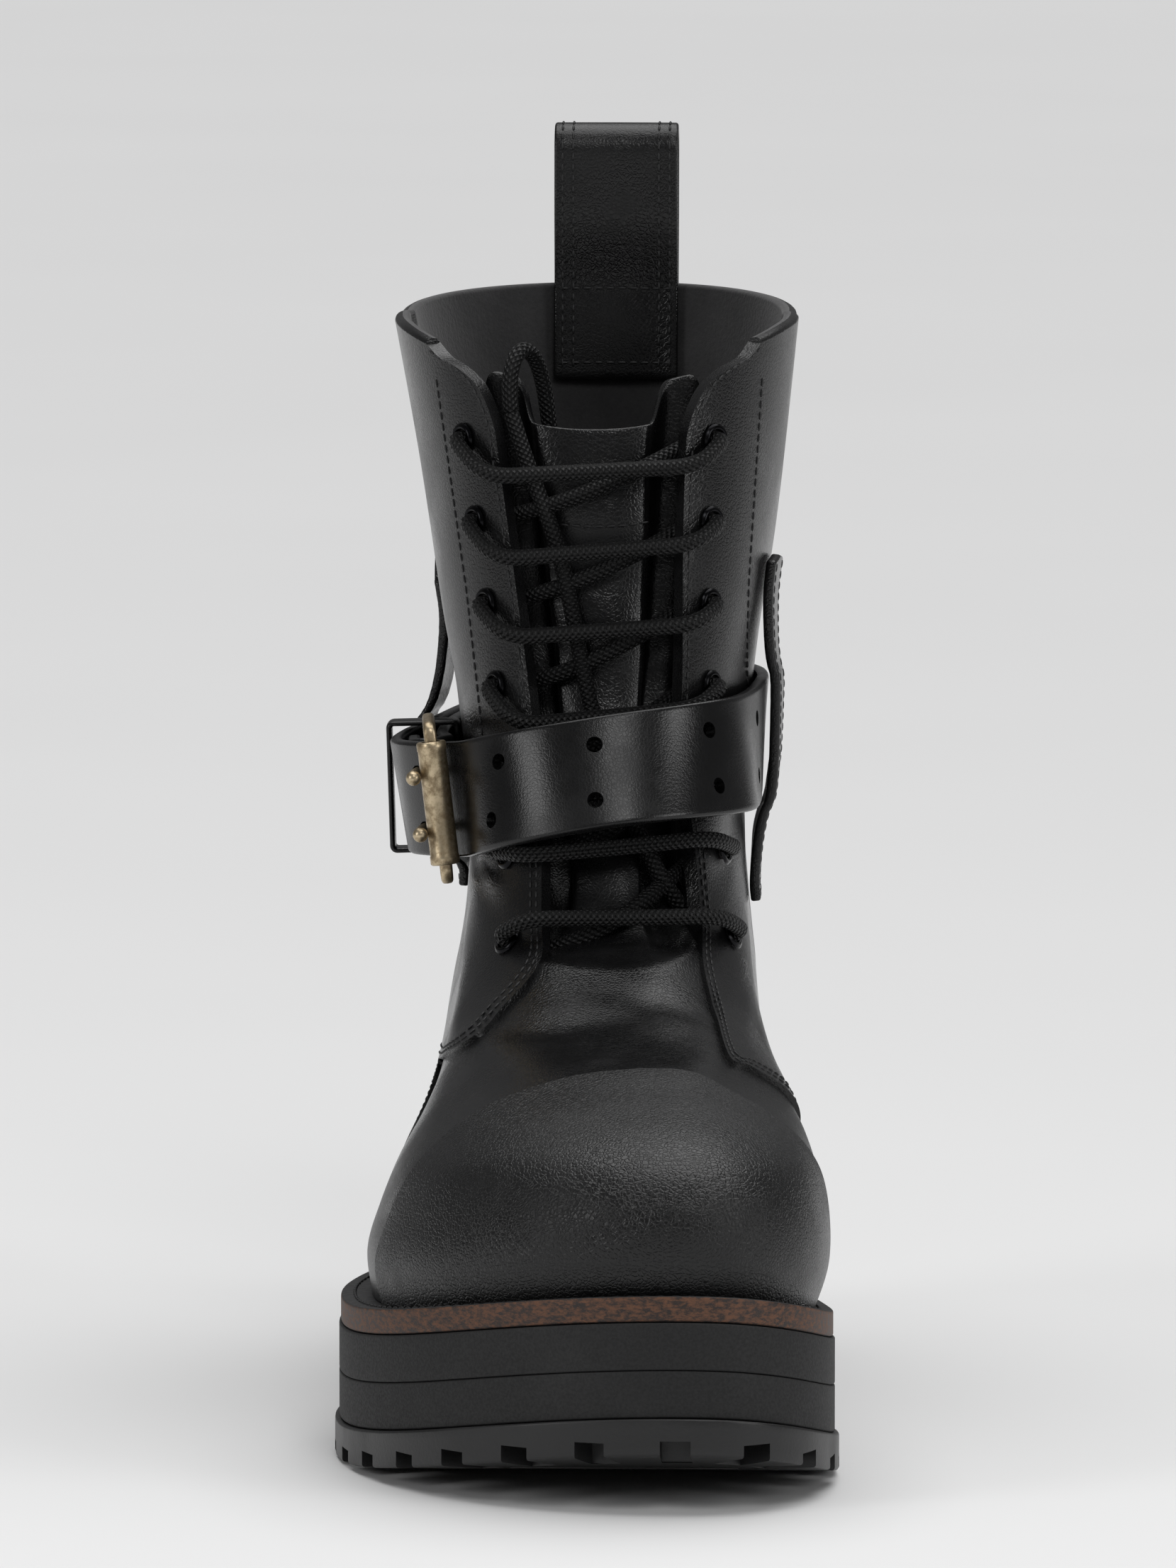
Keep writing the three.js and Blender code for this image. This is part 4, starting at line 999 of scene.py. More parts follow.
    def _plain(
        self, name: str, color: Color, rough: float, metallic: float, scale: float
    ) -> bpy.types.Material:
        """A simple finish with slight variation.

        Args:
            name: Material name.
            color: Base colour.
            rough: Roughness.
            metallic: Metallic share.
            scale: Noise cells in each metre.

        Returns:
            The material.
        """
        made, s, shader = self._start(name)
        fine = s.noise(s.place(), scale, 3.0)
        s.plug(shader.inputs["Base Color"], s.blend(fine, toned(color, 0.7), toned(color, 1.4)))
        s.plug(shader.inputs["Roughness"], s.ramp(fine, 0.3, 0.7, rough - 0.05, rough + 0.08))
        shader.inputs["Metallic"].default_value = metallic
        self._bump(s, shader, fine, 0.1, 0.0002)
        return made

    def _brass(self) -> bpy.types.Material:
        """Antique brass, dark and mottled.

        Returns:
            The material.
        """
        made, s, shader = self._start("AntiqueBrass")
        place = s.place()
        mottle = s.ramp(s.noise(place, 520.0, 5.0, 0.7), 0.33, 0.66)
        pits = s.noise(place, 1600.0, 2.0)
        s.plug(shader.inputs["Base Color"], s.blend(mottle, (0.27, 0.205, 0.125, 1), (0.56, 0.46, 0.31, 1)))
        s.plug(shader.inputs["Roughness"], s.ramp(mottle, 0.0, 1.0, 0.48, 0.34))
        shader.inputs["Metallic"].default_value = 0.95
        self._bump(s, shader, pits, 0.12, 0.0001)
        return made

    def _floor(self) -> bpy.types.Material:
        """Plain pale studio floor.

        Returns:
            The material.
        """
        made, s, shader = self._start("StudioFloor")
        slow = s.noise(s.place(), 3.0, 2.0)
        s.plug(shader.inputs["Base Color"], s.blend(slow, (0.76, 0.76, 0.76, 1), (0.79, 0.79, 0.79, 1)))
        shader.inputs["Roughness"].default_value = 0.9
        return made


# Boot

THROAT_BASE = 0.345
THROAT_LATERAL = ((THROAT_BASE, -0.24), (0.4, -0.235), (0.56, -0.27), (0.74, -0.36), (0.9, -0.45))
THROAT_MEDIAL = ((THROAT_BASE, 0.47), (0.4, 0.45), (0.56, 0.365), (0.74, 0.36), (0.9, 0.37))
TIP_LATERAL = ((0.945, -0.48), (0.985, -0.55), (1.005, -0.64), (1.016, -0.73), (2.0, -0.79))
TIP_MEDIAL = ((0.945, 0.39), (0.985, 0.46), (1.005, 0.56), (1.016, 0.65), (2.0, 0.7))
WELT_MEETS = -32.0
FOOT_LATERAL = ((0.22, -0.72), (0.265, -0.56), (0.3, -0.4))
FOOT_MEDIAL = ((0.265, 0.62), (0.3, 0.54))
CAP_EDGE = -0.289 * FOOT_LENGTH
EYELET_ROWS = 7
EYELET_INSET = {-1: 7.5, 1: 6.0}
EYELET_FACE = OVERLAY + 2 * GAP
BEHIND_WALL = -WALL - LACE_CLEAR - LACE / 2
BAR_HEIGHT = EYELET_FACE + 0.7 + GAP + LACE / 2
TONGUE_ROOM = LACE + 3.2 * LACE_CLEAR
BELT_RISE = 0.537
BELT_TILT = 0.2
ROUNDED_ANGLE = 60.0
ROUNDED_STEPS = 2


def finished(obj: bpy.types.Object, slot: Slot, *nodes: str) -> bpy.types.Object:
    """Fixes a piece to the boot's body and hides the CAD nodes that it replaces.

    Args:
        obj: The piece.
        slot: Its material slot in the record; not used.
        *nodes: CAD nodes that it replaces.

    Returns:
        The piece.
    """
    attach(obj, "root")
    if nodes:
        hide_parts(*nodes)
    return obj


def applied(obj: bpy.types.Object) -> bpy.types.Object:
    """Applies every modifier of an object.

    Args:
        obj: The object.

    Returns:
        The same object with its evaluated mesh.
    """
    graph = bpy.context.evaluated_depsgraph_get()
    data = bpy.data.meshes.new_from_object(obj.evaluated_get(graph))
    old = obj.data
    obj.modifiers.clear()
    obj.data = data
    bpy.data.meshes.remove(old)
    return obj


def softened(obj: bpy.types.Object, width: float) -> bpy.types.Object:
    """Rounds an object's edges.

    Args:
        obj: The object.
        width: Width of the rounding in millimetres.

    Returns:
        The object.
    """
    bevel = obj.modifiers.new("Round", "BEVEL")
    bevel.width = width * MM
    bevel.segments = ROUNDED_STEPS
    bevel.limit_method = "ANGLE"
    bevel.angle_limit = math.radians(ROUNDED_ANGLE)
    bevel.harden_normals = False
    applied(obj)
    obj.data.set_sharp_from_angle(angle=math.radians(ROUNDED_ANGLE))
    return obj


def cut_by(obj: bpy.types.Object, cutter: bpy.types.Object) -> bpy.types.Object:
    """Cuts one solid from another and deletes the cutter.

    Args:
        obj: What is cut.
        cutter: What is cut away.

    Returns:
        The cut object.
    """
    cut = obj.modifiers.new("Cut", "BOOLEAN")
    cut.operation = "DIFFERENCE"
    cut.solver = "EXACT"
    cut.use_self = True
    cut.object = cutter
    applied(obj)
    bpy.data.objects.remove(cutter)
    return obj


class StitchRuns:
    """Runs of stitches, set along curves by one Geometry Nodes group."""

    def __init__(self, thread: bpy.types.Material) -> None:
        """Makes the node group.

        Args:
            thread: Material of the thread.
        """
        self.thread = thread
        self.tree = bpy.data.node_groups.new("StitchRun", "GeometryNodeTree")
        sockets = self.tree.interface
        sockets.new_socket("Geometry", in_out="INPUT", socket_type="NodeSocketGeometry")
        for name in ("Pitch", "Length", "Radius"):
            sockets.new_socket(name, in_out="INPUT", socket_type="NodeSocketFloat")
        sockets.new_socket("Thread", in_out="INPUT", socket_type="NodeSocketMaterial")
        sockets.new_socket("Geometry", in_out="OUTPUT", socket_type="NodeSocketGeometry")
        new = self.tree.nodes.new
        link = self.tree.links.new
        start, end = new("NodeGroupInput"), new("NodeGroupOutput")
        curve, points = new("GeometryNodeMeshToCurve"), new("GeometryNodeResampleCurve")
        points.mode = "LENGTH"
        place, turn = new("GeometryNodeInstanceOnPoints"), new("FunctionNodeAlignRotationToVector")
        turn.axis = "Z"
        tangent = new("GeometryNodeInputTangent")
        seed, stretch = new("GeometryNodeMeshUVSphere"), new("GeometryNodeTransform")
        seed.inputs["Segments"].default_value = 6
        seed.inputs["Rings"].default_value = 5
        shape = new("ShaderNodeCombineXYZ")
        real, coat = new("GeometryNodeRealizeInstances"), new("GeometryNodeSetMaterial")
        smoothing = new("GeometryNodeSetShadeSmooth")
        link(start.outputs["Geometry"], curve.inputs[0])
        link(curve.outputs[0], points.inputs["Curve"])
        link(start.outputs["Pitch"], points.inputs["Length"])
        link(start.outputs["Radius"], shape.inputs["X"])
        link(start.outputs["Radius"], shape.inputs["Y"])
        link(start.outputs["Length"], shape.inputs["Z"])
        link(seed.outputs["Mesh"], stretch.inputs["Geometry"])
        link(shape.outputs[0], stretch.inputs["Scale"])
        link(points.outputs[0], place.inputs["Points"])
        link(stretch.outputs[0], place.inputs["Instance"])
        link(tangent.outputs[0], turn.inputs["Vector"])
        link(turn.outputs[0], place.inputs["Rotation"])
        link(place.outputs[0], real.inputs[0])
        link(real.outputs[0], smoothing.inputs[0])
        link(smoothing.outputs[0], coat.inputs["Geometry"])
        link(start.outputs["Thread"], coat.inputs["Material"])
        link(coat.outputs[0], end.inputs["Geometry"])

    def sew(
        self, name: str, runs: Sequence[Array], slot: Slot, pitch: float = 2.7, thick: float = 0.28
    ) -> None:
        """Sews stitches along polylines as one piece.

        Args:
            name: Object name.
            runs: Polylines in millimetres.
            slot: Material slot of the record.
            pitch: Distance between stitches.
            thick: Radius of the thread.
        """
        data = bpy.data.meshes.new(name)
        verts: list[Array] = []
        edges: list[tuple[int, int]] = []
        for run in runs:
            base = sum(len(v) for v in verts)
            verts.append(np.asarray(run) * MM)
            edges.extend((base + i, base + i + 1) for i in range(len(run) - 1))
        data.from_pydata(np.concatenate(verts).tolist(), edges, [])
        obj = bpy.data.objects.new(name, data)
        bpy.context.scene.collection.objects.link(obj)
        modifier = obj.modifiers.new("Stitches", "NODES")
        modifier.node_group = self.tree
        values = {"Pitch": pitch * MM, "Length": pitch * 0.39 * MM, "Radius": thick * MM}
        values["Thread"] = self.thread
        for item in self.tree.interface.items_tree:
            if item.in_out == "INPUT" and item.name in values:
                modifier[item.identifier] = values[item.name]
        applied(obj)
        finished(obj, slot)


@dataclass
class Edge:
    """Front edge of one quarter: its turn at each level from the welt to the collar."""

    side: int
    levels: Array
    turns: Array

    @classmethod
    def made(cls, side: int) -> Edge:
        """Works out the edge on one side from the facing's outline.

        Args:
            side: 1 for medial, -1 for lateral.

        Returns:
            The edge.
        """
        medial = (*FOOT_MEDIAL, *THROAT_MEDIAL, *TIP_MEDIAL)
        lateral = (*FOOT_LATERAL, *THROAT_LATERAL, *TIP_LATERAL)
        outline = np.array(medial if side > 0 else lateral)
        z = height_of(outline[:, 0])
        level, turn = LAST.front_spot(side_x(outline[:, 1]), z)
        low_levels = np.linspace(0, level[0] - 0.5, 9)
        tip_y = float(LAST.face(level[0], turn[0])[1])
        y = mix(WELT_MEETS, tip_y, (low_levels / level[0]) ** 3)
        low_turns = np.array([cls.turn_at(a, b, side) for a, b in zip(low_levels, y)])
        levels = np.concatenate([low_levels, level])
        turns = np.concatenate([low_turns, turn])
        order = np.argsort(levels)
        levels, turns = levels[order], turns[order]
        keep = np.concatenate([[True], np.diff(levels) > 1e-3])
        dense = catmull(np.stack([levels[keep], turns[keep] * 20], 1), 400)
        dense = dense[np.argsort(dense[:, 0])]
        return cls(side, dense[:, 0], dense[:, 1] / 20)

    @staticmethod
    def turn_at(level: float, y: float, side: int) -> float:
        """Turn at which one level passes a y."""
        row = LAST.rows(np.array(level))
        return side * math.acos(1 - 2 * float(np.clip((y - row[0]) / (row[2] - row[0]), 0, 1))) / math.pi

    def at(self, level: Array) -> Array:
        """Turn of the edge.

        Args:
            level: Levels.

        Returns:
            Turns.
        """
        return np.interp(level, self.levels, self.turns)


def crease(level: Array, turn: Array) -> Array:
    """Soft walking creases over the vamp and the ankle.

    Args:
        level: Levels.
        turn: Turns.

    Returns:
        Distance outwards in millimetres.
    """
    total = np.zeros(np.broadcast(level, turn).shape)
    for at_level, at_turn, slope, wide, long, deep in (
        (8.1, -0.12, 3.0, 0.28, 0.2, -0.7),
        (8.5, 0.14, -3.0, 0.25, 0.16, -0.55),
        (10.6, 0.42, 2.0, 0.4, 0.16, -0.9),
        (10.2, -0.4, -2.0, 0.4, 0.15, -0.8),
        (11.4, 0.4, 1.5, 0.35, 0.14, 0.5),
        (12.1, -0.55, 1.0, 0.45, 0.16, -0.6),
        (9.9, 0.72, -1.5, 0.5, 0.14, -0.7),
        (13.0, 0.6, 1.0, 0.5, 0.2, -0.5),
    ):
        across = (level - at_level - slope * (turn - at_turn)) / wide
        along = (turn - at_turn) / long
        total = total + deep * np.exp(-(across**2) - along**2)
    return total


@dataclass
class Upper:
    """The leather upper: vamp, toe cap, quarters, lining, tongue, seams and eyelets."""

    finish: Finish
    stitches: StitchRuns
    lateral: Edge = field(default_factory=lambda: Edge.made(-1))
    medial: Edge = field(default_factory=lambda: Edge.made(1))
    base: float = field(default_factory=lambda: float(LAST.level_at(height_of(THROAT_BASE), 0.0)))
    columns: int = 240
    rim_height: float = 1.1
    tongue_thick: float = 2.2
    tongue_turn: float = 0.27
    eyelet_bore: float = 2.3

    def quarter_grid(self, out: float, levels: Array, cols: int, inset: float = 0.0) -> Array:
        """Grid over both quarters, from the medial edge round the back to the lateral one.

        Args:
            out: Distance off the face.
            levels: Levels of the rows.
            cols: Columns.
            inset: How far behind the edges the grid starts, in turns.

        Returns:
            Points by row and column.
        """
        start = self.medial.at(levels)[:, None] + inset
        end = 2 + self.lateral.at(levels)[:, None] - inset
        k = np.linspace(0, 1, cols)[None]
        turn = within_round(mix(start, end, k))
        level = np.broadcast_to(levels[:, None], turn.shape)
        return LAST.skin(level, turn, out + crease(level, turn))

    def build_quarters(self) -> None:
        """Makes the quarters with the lining on their inner side and a rolled collar."""
        cols = self.columns
        parts = (np.linspace(0.0, 14.6, 120), np.linspace(14.6, 15.7, 30)[1:], np.linspace(15.7, Last.TOP, 30)[1:])
        levels = np.concatenate(parts)
        outer = self.quarter_grid(OVERLAY, levels, cols)
        inner = self.quarter_grid(-WALL, levels, cols)
        roll = np.linspace(0, np.pi / 2, 5)[1:]
        half = (OVERLAY + WALL) / 2
        middle = (outer[-1] + inner[-1]) / 2
        outwards = (outer[-1] - inner[-1]) / (2 * half)
        up = np.array([0.0, 0.0, 1.0]) * self.rim_height
        rim_out = [middle + outwards * half * np.cos(a) + up * np.sin(a) for a in roll]
        rim_in = [middle - outwards * half * np.cos(a) + up * np.sin(a) for a in roll[:-1]]
        outside = Mesh()
        outside.grid(np.concatenate([outer, rim_out]))
        for col, flip in ((0, True), (cols - 1, False)):
            outside.grid(np.stack([outer[:, col], inner[:, col]], 1), flip=flip)
            over = [r[col] for r in [*rim_out, *rim_in[::-1]]]
            end = [outer[-1, col], *over, inner[-1, col]]
            outside.add(end, [range(len(end))])
        quarters = outside.build("quarters", self.finish.upper)
        quarters.data.set_sharp_from_angle(angle=math.radians(55))
        finished(quarters, Slot.UPPER, "upper")
        inside = Mesh()
        inside.grid(np.concatenate([inner, rim_in, [middle + up]]), flip=True)
        finished(inside.build("lining_quarters", self.finish.lining), Slot.LINING)

    def build_vamp(self) -> None:
        """Makes the vamp in front of the quarters and its lining."""
        levels = np.concatenate([np.linspace(0, 1.5, 24)[:-1], np.linspace(1.5, self.base, 90)])
        turns = np.linspace(-0.62, 0.62, 200)
        level, turn = np.meshgrid(levels, turns, indexing="ij")
        outer = LAST.skin(level, turn, crease(level, turn))
        front = Mesh()
        front.grid(outer)
        finished(front.build("vamp", self.finish.upper), Slot.UPPER)
        back = Mesh()
        back.grid(LAST.skin(level, turn, -WALL - 0.05), flip=True)
        finished(back.build("lining_vamp", self.finish.lining), Slot.LINING)
        edge = Mesh()
        rim = turns[np.abs(turns) < 0.3]
        top = np.full(len(rim), self.base)
        edge.grid(np.stack([LAST.skin(top, rim, crease(top, rim)), LAST.skin(top, rim, -WALL)], 0))
        finished(edge.build("vamp_edge", self.finish.edge), Slot.UPPER)

    def build_cap(self) -> None:
        """Makes the raised toe cap with its cut edge."""
        levels = np.linspace(0, 7.4, 120)
        turns = np.linspace(-0.6, 0.6, 200)
        level, turn = np.meshgrid(levels, turns, indexing="ij")
        mesh = Mesh()
        mesh.grid(LAST.skin(level, turn, OVERLAY))
        cap = mesh.build("toe_cap", self.finish.cap)
        work = bmesh.new()
        work.from_mesh(cap.data)
        bmesh.ops.bisect_plane(
            work,
            geom=[*work.verts, *work.edges, *work.faces],
            plane_co=(0, CAP_EDGE * MM, 0),
            plane_no=(0, 1, 0),
            clear_outer=True,
        )
        bare = [e for e in work.edges if e.is_boundary]
        rim = [e for e in bare if all(abs(v.co.y - CAP_EDGE * MM) < 1e-5 for v in e.verts)]
        normals = {v: v.normal.copy() for e in rim for v in e.verts}
        made = bmesh.ops.extrude_edge_only(work, edges=rim)
        moved = [v for v in made["geom"] if isinstance(v, bmesh.types.BMVert)]
        work.normal_update()
        tree = {v.co.copy().freeze(): n for v, n in normals.items()}
        for v in moved:
            v.co -= tree[v.co.copy().freeze()] * (OVERLAY + 0.25) * MM
        bmesh.ops.recalc_face_normals(work, faces=work.faces)
        work.to_mesh(cap.data)
        work.free()
        if cap.data.polygons[0].normal.y > 0.5:
            cap.data.flip_normals()
        cap.data.set_sharp_from_angle(angle=math.radians(50))
        finished(cap, Slot.UPPER)

    def build_tongue(self) -> None:
        """Makes the bellows tongue, which flows out of the vamp and folds in at both sides."""
        rows, cols = 130, 120
        side = np.linspace(-1, 1, cols)[None]
        wing = smooth((np.abs(side) - 0.42) / 0.25)
        low = self.base - 0.5
        corner = 0.5 * smooth((np.abs(side) - 0.78) / 0.22)
        level = mix(low, 15.45 + 0.3 * wing - corner, np.linspace(0, 1, rows)[:, None])
        leave = smooth((level - self.base - 0.05) / 1.3)
        room = mix(0.3, TONGUE_ROOM + 0.6, leave)
        fold = 5.0 * leave * smooth(1 - np.abs(np.abs(side) - 0.62) / 0.26)
        ripple = 0.35 * leave * np.sin(level * 5.0 + side * 3.0) * smooth(1 - np.abs(side))
        depth = WALL * smooth((level - self.base) / 0.8) + room + fold + ripple
        turn = side * self.tongue_turn + np.zeros_like(level)
        depth = depth - crease(level, turn) * (1 - leave)
        outer = LAST.skin(level, turn, -depth)
        inner = LAST.skin(level, turn, -depth - self.tongue_thick)
        mesh = Mesh()
        mesh.sheet(outer, inner)
        tongue = softened(mesh.build("tongue_soft", self.finish.upper), 0.8)
        finished(tongue, Slot.UPPER, "tongue")
        across = np.linspace(-0.38, 0.38, 60) * self.tongue_turn
        run = LAST.skin(np.full(60, 14.55), across, 0.15 - WALL - TONGUE_ROOM)
        self.stitches.sew("tongue_stitches", [run], Slot.UPPER)

    def build_seams(self) -> None:
        """Sews the seams of the facings and the quarters."""
        runs = []
        for edge in (self.lateral, self.medial):
            for inset, low, high in ((2.2, 0.6, 15.9), (4.8, 0.6, 10.9)):
                level = np.linspace(low, high, 400)
                runs.append(LAST.skin(level, edge.at(level) + edge.side * inset / 190, OVERLAY + 0.05))
        lateral = ((0.985, -0.74), (0.75, -0.6), (0.54, -0.5))
        medial = ((0.985, 0.7), (0.75, 0.64), (0.55, 0.62))
        for seam in (lateral, medial):
            rise, share = evenly(np.array(seam), 60).T
            runs.append(LAST.skin(*LAST.front_spot(side_x(share), height_of(rise)), OVERLAY + 0.05))
        self.stitches.sew("seam_stitches", runs, Slot.UPPER, 2.6, 0.28)

    def eyelet_spots(self) -> list[tuple[int, int, Array, Array]]:
        """Middle and direction of every eyelet.

        Returns:
            Row, side, point and normal of each.
        """
        spots = []
        for row in range(1, EYELET_ROWS + 1):
            rise = mix(0.925, 0.362, (row - 1) / (EYELET_ROWS - 1))
            for side, throat, tip in ((-1, THROAT_LATERAL, TIP_LATERAL), (1, THROAT_MEDIAL, TIP_MEDIAL)):
                table = np.array([*throat, tip[0]])
                x = side_x(np.interp(rise, table[:, 0], table[:, 1])) + side * EYELET_INSET[side]
                level, turn = LAST.front_spot(x, height_of(rise))
                spots.append((row, side, LAST.skin(level, turn), LAST.normal(level, turn)))
        return spots

    def build_eyelets(self) -> None:
        """Makes the rolled black metal eyelets."""
        mesh = Mesh()
        lip = ((0.0, 0.2), (0.15, 0.55), (0.5, 0.7), (1.0, 0.5), (1.4, 0.0))
        profile = [(self.eyelet_bore, -WALL)]
        profile = np.array(profile + [(self.eyelet_bore + out, EYELET_FACE + up) for out, up in lip])
        names = []
        for row, side, at, normal in self.eyelet_spots():
            names.append(f"eyelet_{'medial' if side > 0 else 'lateral'}_{row}")
            seed = unit(np.cross(normal, [0, 0, 1.0]))
            rim = circle(seed, np.cross(normal, seed), 28)
            rings = at + profile[:, None, :1] * rim[None] + profile[:, None, 1:] * normal
            mesh.grid(rings, closed=True)
        finished(mesh.build("eyelet_rings", self.finish.metal), Slot.BLACK_METAL, *names)
        holes = Mesh()
        for _, _, at, normal in self.eyelet_spots():
            holes.tube(np.stack([at - normal * (WALL + 0.4), at + normal * (OVERLAY + 0.05)]), 2.35, 20)
        dark = holes.build("eyelet_bores", self.finish.edge)
        finished(dark, Slot.UPPER)


def unit(v: Array) -> Array:
    """Unit vectors.

    Args:
        v: Vectors, xyz last.

    Returns:
        The same directions with length 1.
    """
    return v / np.linalg.norm(v, axis=-1, keepdims=True)


def dot(a: Array, b: Array) -> Array:
    """Row by row dot product that keeps its axis."""
    return np.sum(a * b, axis=-1, keepdims=True)


def rounded(points: Sequence[Array], passes: int = 3) -> Array:
    """Rounds a polyline by cutting its corners, without going outside it.

    Args:
        points: The polyline.
        passes: How often the corners are cut.

    Returns:
        The rounded polyline.
    """
    line = np.asarray(points, float)
    for _ in range(passes):
        near, far = line[:-1] * 0.75 + line[1:] * 0.25, line[:-1] * 0.25 + line[1:] * 0.75
        middle = np.stack([near, far], 1).reshape(-1, line.shape[1])
        line = np.vstack([line[:1], middle, line[-1:]])
    return line


@dataclass
class Laces:
    """The round lace: bars outside the facings, crossings behind them and the free end."""

    DROOP = ((8.5, 6.0), (8.5, 5.0), (7.5, 4.5), (9.0, 5.0), (7.0, 5.0), (1.0, -3.0), (-3.5, -4.0))
    LONG = ((0.405, 0.46), (0.46, 0.3), (0.59, 0.0), (0.69, -0.11), (0.8, -0.2), (0.9, -0.38), (0.955, -0.46))
    FREE = np.array(
        [
            [0.9573, -0.462, -4.9],
            [0.985, -0.475, -5.2],
            [1.012, -0.475, -6.6],
            [1.027, -0.47, -10.0],
            [1.022, -0.46, -14.0],
            [1.0, -0.45, -17.6],
            [0.96, -0.43, -19.5],
            [0.9, -0.42, -19.5],
            [0.84, -0.41, -19.5],
        ]
    )

    finish: Finish
    upper: Upper

    def __post_init__(self) -> None:
        """Finds the eyelets."""
        self.eyelets = {(row, side): (at, normal) for row, side, at, normal in self.upper.eyelet_spots()}

    @staticmethod
    def bend(eyelet: tuple[Array, Array], towards: Array, way: int) -> list[Array]:
        """Points that leave an eyelet and turn along the leather.

        Args:
            eyelet: Its middle and normal.
            towards: Direction to turn to.
            way: 1 outwards, -1 inwards.

        Returns:
            Three points.
        """
        at, normal = eyelet
        reach, start = (BAR_HEIGHT, -0.5) if way > 0 else (-BEHIND_WALL, 1.1)
        along = unit(towards - normal * towards.dot(normal))
        turn = 0.75 * LACE / 2
        spots = ((0.0, start), (0.0, reach - turn), (turn, reach))
        return [at + along * d + normal * way * h for d, h in spots]

    @staticmethod
    def off_face(x: float, z: float, out: float) -> Array:
        """Point off the front of the leather."""
        return LAST.skin(*LAST.front_spot(x, z), out)

    def bar(self, row: int) -> Array:
        """Middle line of one outer bar.

        Args:
            row: Row of the bar from the top.

        Returns:
            Points.
        """
        left, right = self.eyelets[row, -1], self.eyelets[row, 1]
        lateral, medial = self.DROOP[row - 1]
        height = BAR_HEIGHT + 2 * LACE_CLEAR
        first = self.off_face(left[0][0] + EYELET_INSET[-1], left[0][2] - lateral, height)
        last = self.off_face(right[0][0] - EYELET_INSET[1], right[0][2] - medial, height)
        over = []
        for k in (0.3, 0.7):
            point = mix(first, last, k)
            least = self.off_face(point[0], point[2], BEHIND_WALL + LACE + 4 * GAP)
            over.append(least if least[1] < point[1] else point)
        start, end = self.bend(left, first - left[0], 1), self.bend(right, last - right[0], 1)
        return np.array([*start, first, *over, last, *end[::-1]])

    def strand(self, row: int) -> Array:
        """Middle line of one crossing behind the facings.

        Args:
            row: Row of its lateral eyelet.

        Returns:
            Points.
        """
        start, end = self.eyelets[row, -1], self.eyelets[row - 1, 1]
        inner = []
        for k in (0.25, 0.5, 0.75):
            point = mix(start[0], end[0], k)
            inner.append(self.off_face(point[0], point[2] - 4 * k * (1 - k), BEHIND_WALL))
        foot = self.bend(start, inner[0] - start[0], -1)
        head = self.bend(end, inner[2] - end[0], -1)
        return np.array([*foot, *inner, *head[::-1]])

    def tube(self, name: str, paths: Sequence[Array], *nodes: str) -> bpy.types.Object:
        """Makes a piece of lace.

        Args:
            name: Object name.
            paths: Middle lines.
            *nodes: Nodes that it replaces.

        Returns:
            The piece.
        """
        mesh = Mesh()
        for path in paths:
            line = rounded(path)
            length = np.sum(np.linalg.norm(np.diff(line, axis=0), axis=1))
            mesh.tube(evenly(line, max(12, int(length / 0.9))), LACE / 2, 16)
        return finished(mesh.build(name, self.finish.cord), Slot.CORD, *nodes)

    def build(self) -> None:
        """Makes every piece of lace, its free end among them."""
        rise, x, offset = self.FREE.T
        level, turn = LAST.front_spot(side_x(x), height_of(np.minimum(rise, 0.97)))
        path = LAST.skin(level, turn, offset)
        path[:, 2] = height_of(rise)
        end = self.tube("lace_tail", [path], "lace_end")
        for row in range(1, EYELET_ROWS + 1):
            self.tube(f"lace_over_{row}", [self.bar(row)], f"lace_bar_{row}")
        paths = [self.strand(row) for row in range(EYELET_ROWS, 1, -1)]
        climb = [self.off_face(side_x(x), height_of(rise), BEHIND_WALL) for rise, x in self.LONG]
        lowest = self.eyelets[EYELET_ROWS, 1]
        paths.append(np.array([*self.bend(lowest, climb[0] - lowest[0], -1), *climb]))
        self.tube("lace_inside", paths, "lace_crossings")


@dataclass(frozen=True)
class Frames:
    """Places along a strap, each with its inner face's middle, its way up and its way out."""

    at: Array
    up: Array
    out: Array

    def shift(self, up: float = 0.0, out: float = 0.0) -> Array:
        """Points at a height and distance from the inner face's middle."""
        return self.at + self.up * up + self.out * out


def strip(frames: Frames, half: Array | float, thick: float, soft: float = 0.9) -> Array:
    """Rings of a flat strap with rounded edges.

    Args:
        frames: Its path.
        half: Half of its height, or one for each place.
        thick: Its thickness.
        soft: Radius of its edges.

    Returns:
        Points by place and round the section.
    """
    half = np.broadcast_to(half, len(frames.at))
    corner = np.linspace(0, np.pi / 2, 4)
    ring = []
    for sign_up, sign_out, turn in ((1, 1, False), (1, -1, True), (-1, -1, False), (-1, 1, True)):
        for a in corner[::-1] if turn else corner:
            depth = thick / 2 - soft + soft * np.cos(a)
            ring.append((sign_up, soft * np.sin(a) - soft, thick / 2 + sign_out * depth))
        if turn:
            outs = thick / 2 + sign_out * thick / 2
            ring.extend((sign_up * k, 0.0, outs) for k in np.linspace(0.9, -0.9, 19))
    points = []
    for sign, inset, out in ring:
        height = sign * half + np.sign(sign) * inset
        points.append(frames.at + frames.up * height[:, None] + frames.out * out)
    return np.stack(points, 1)


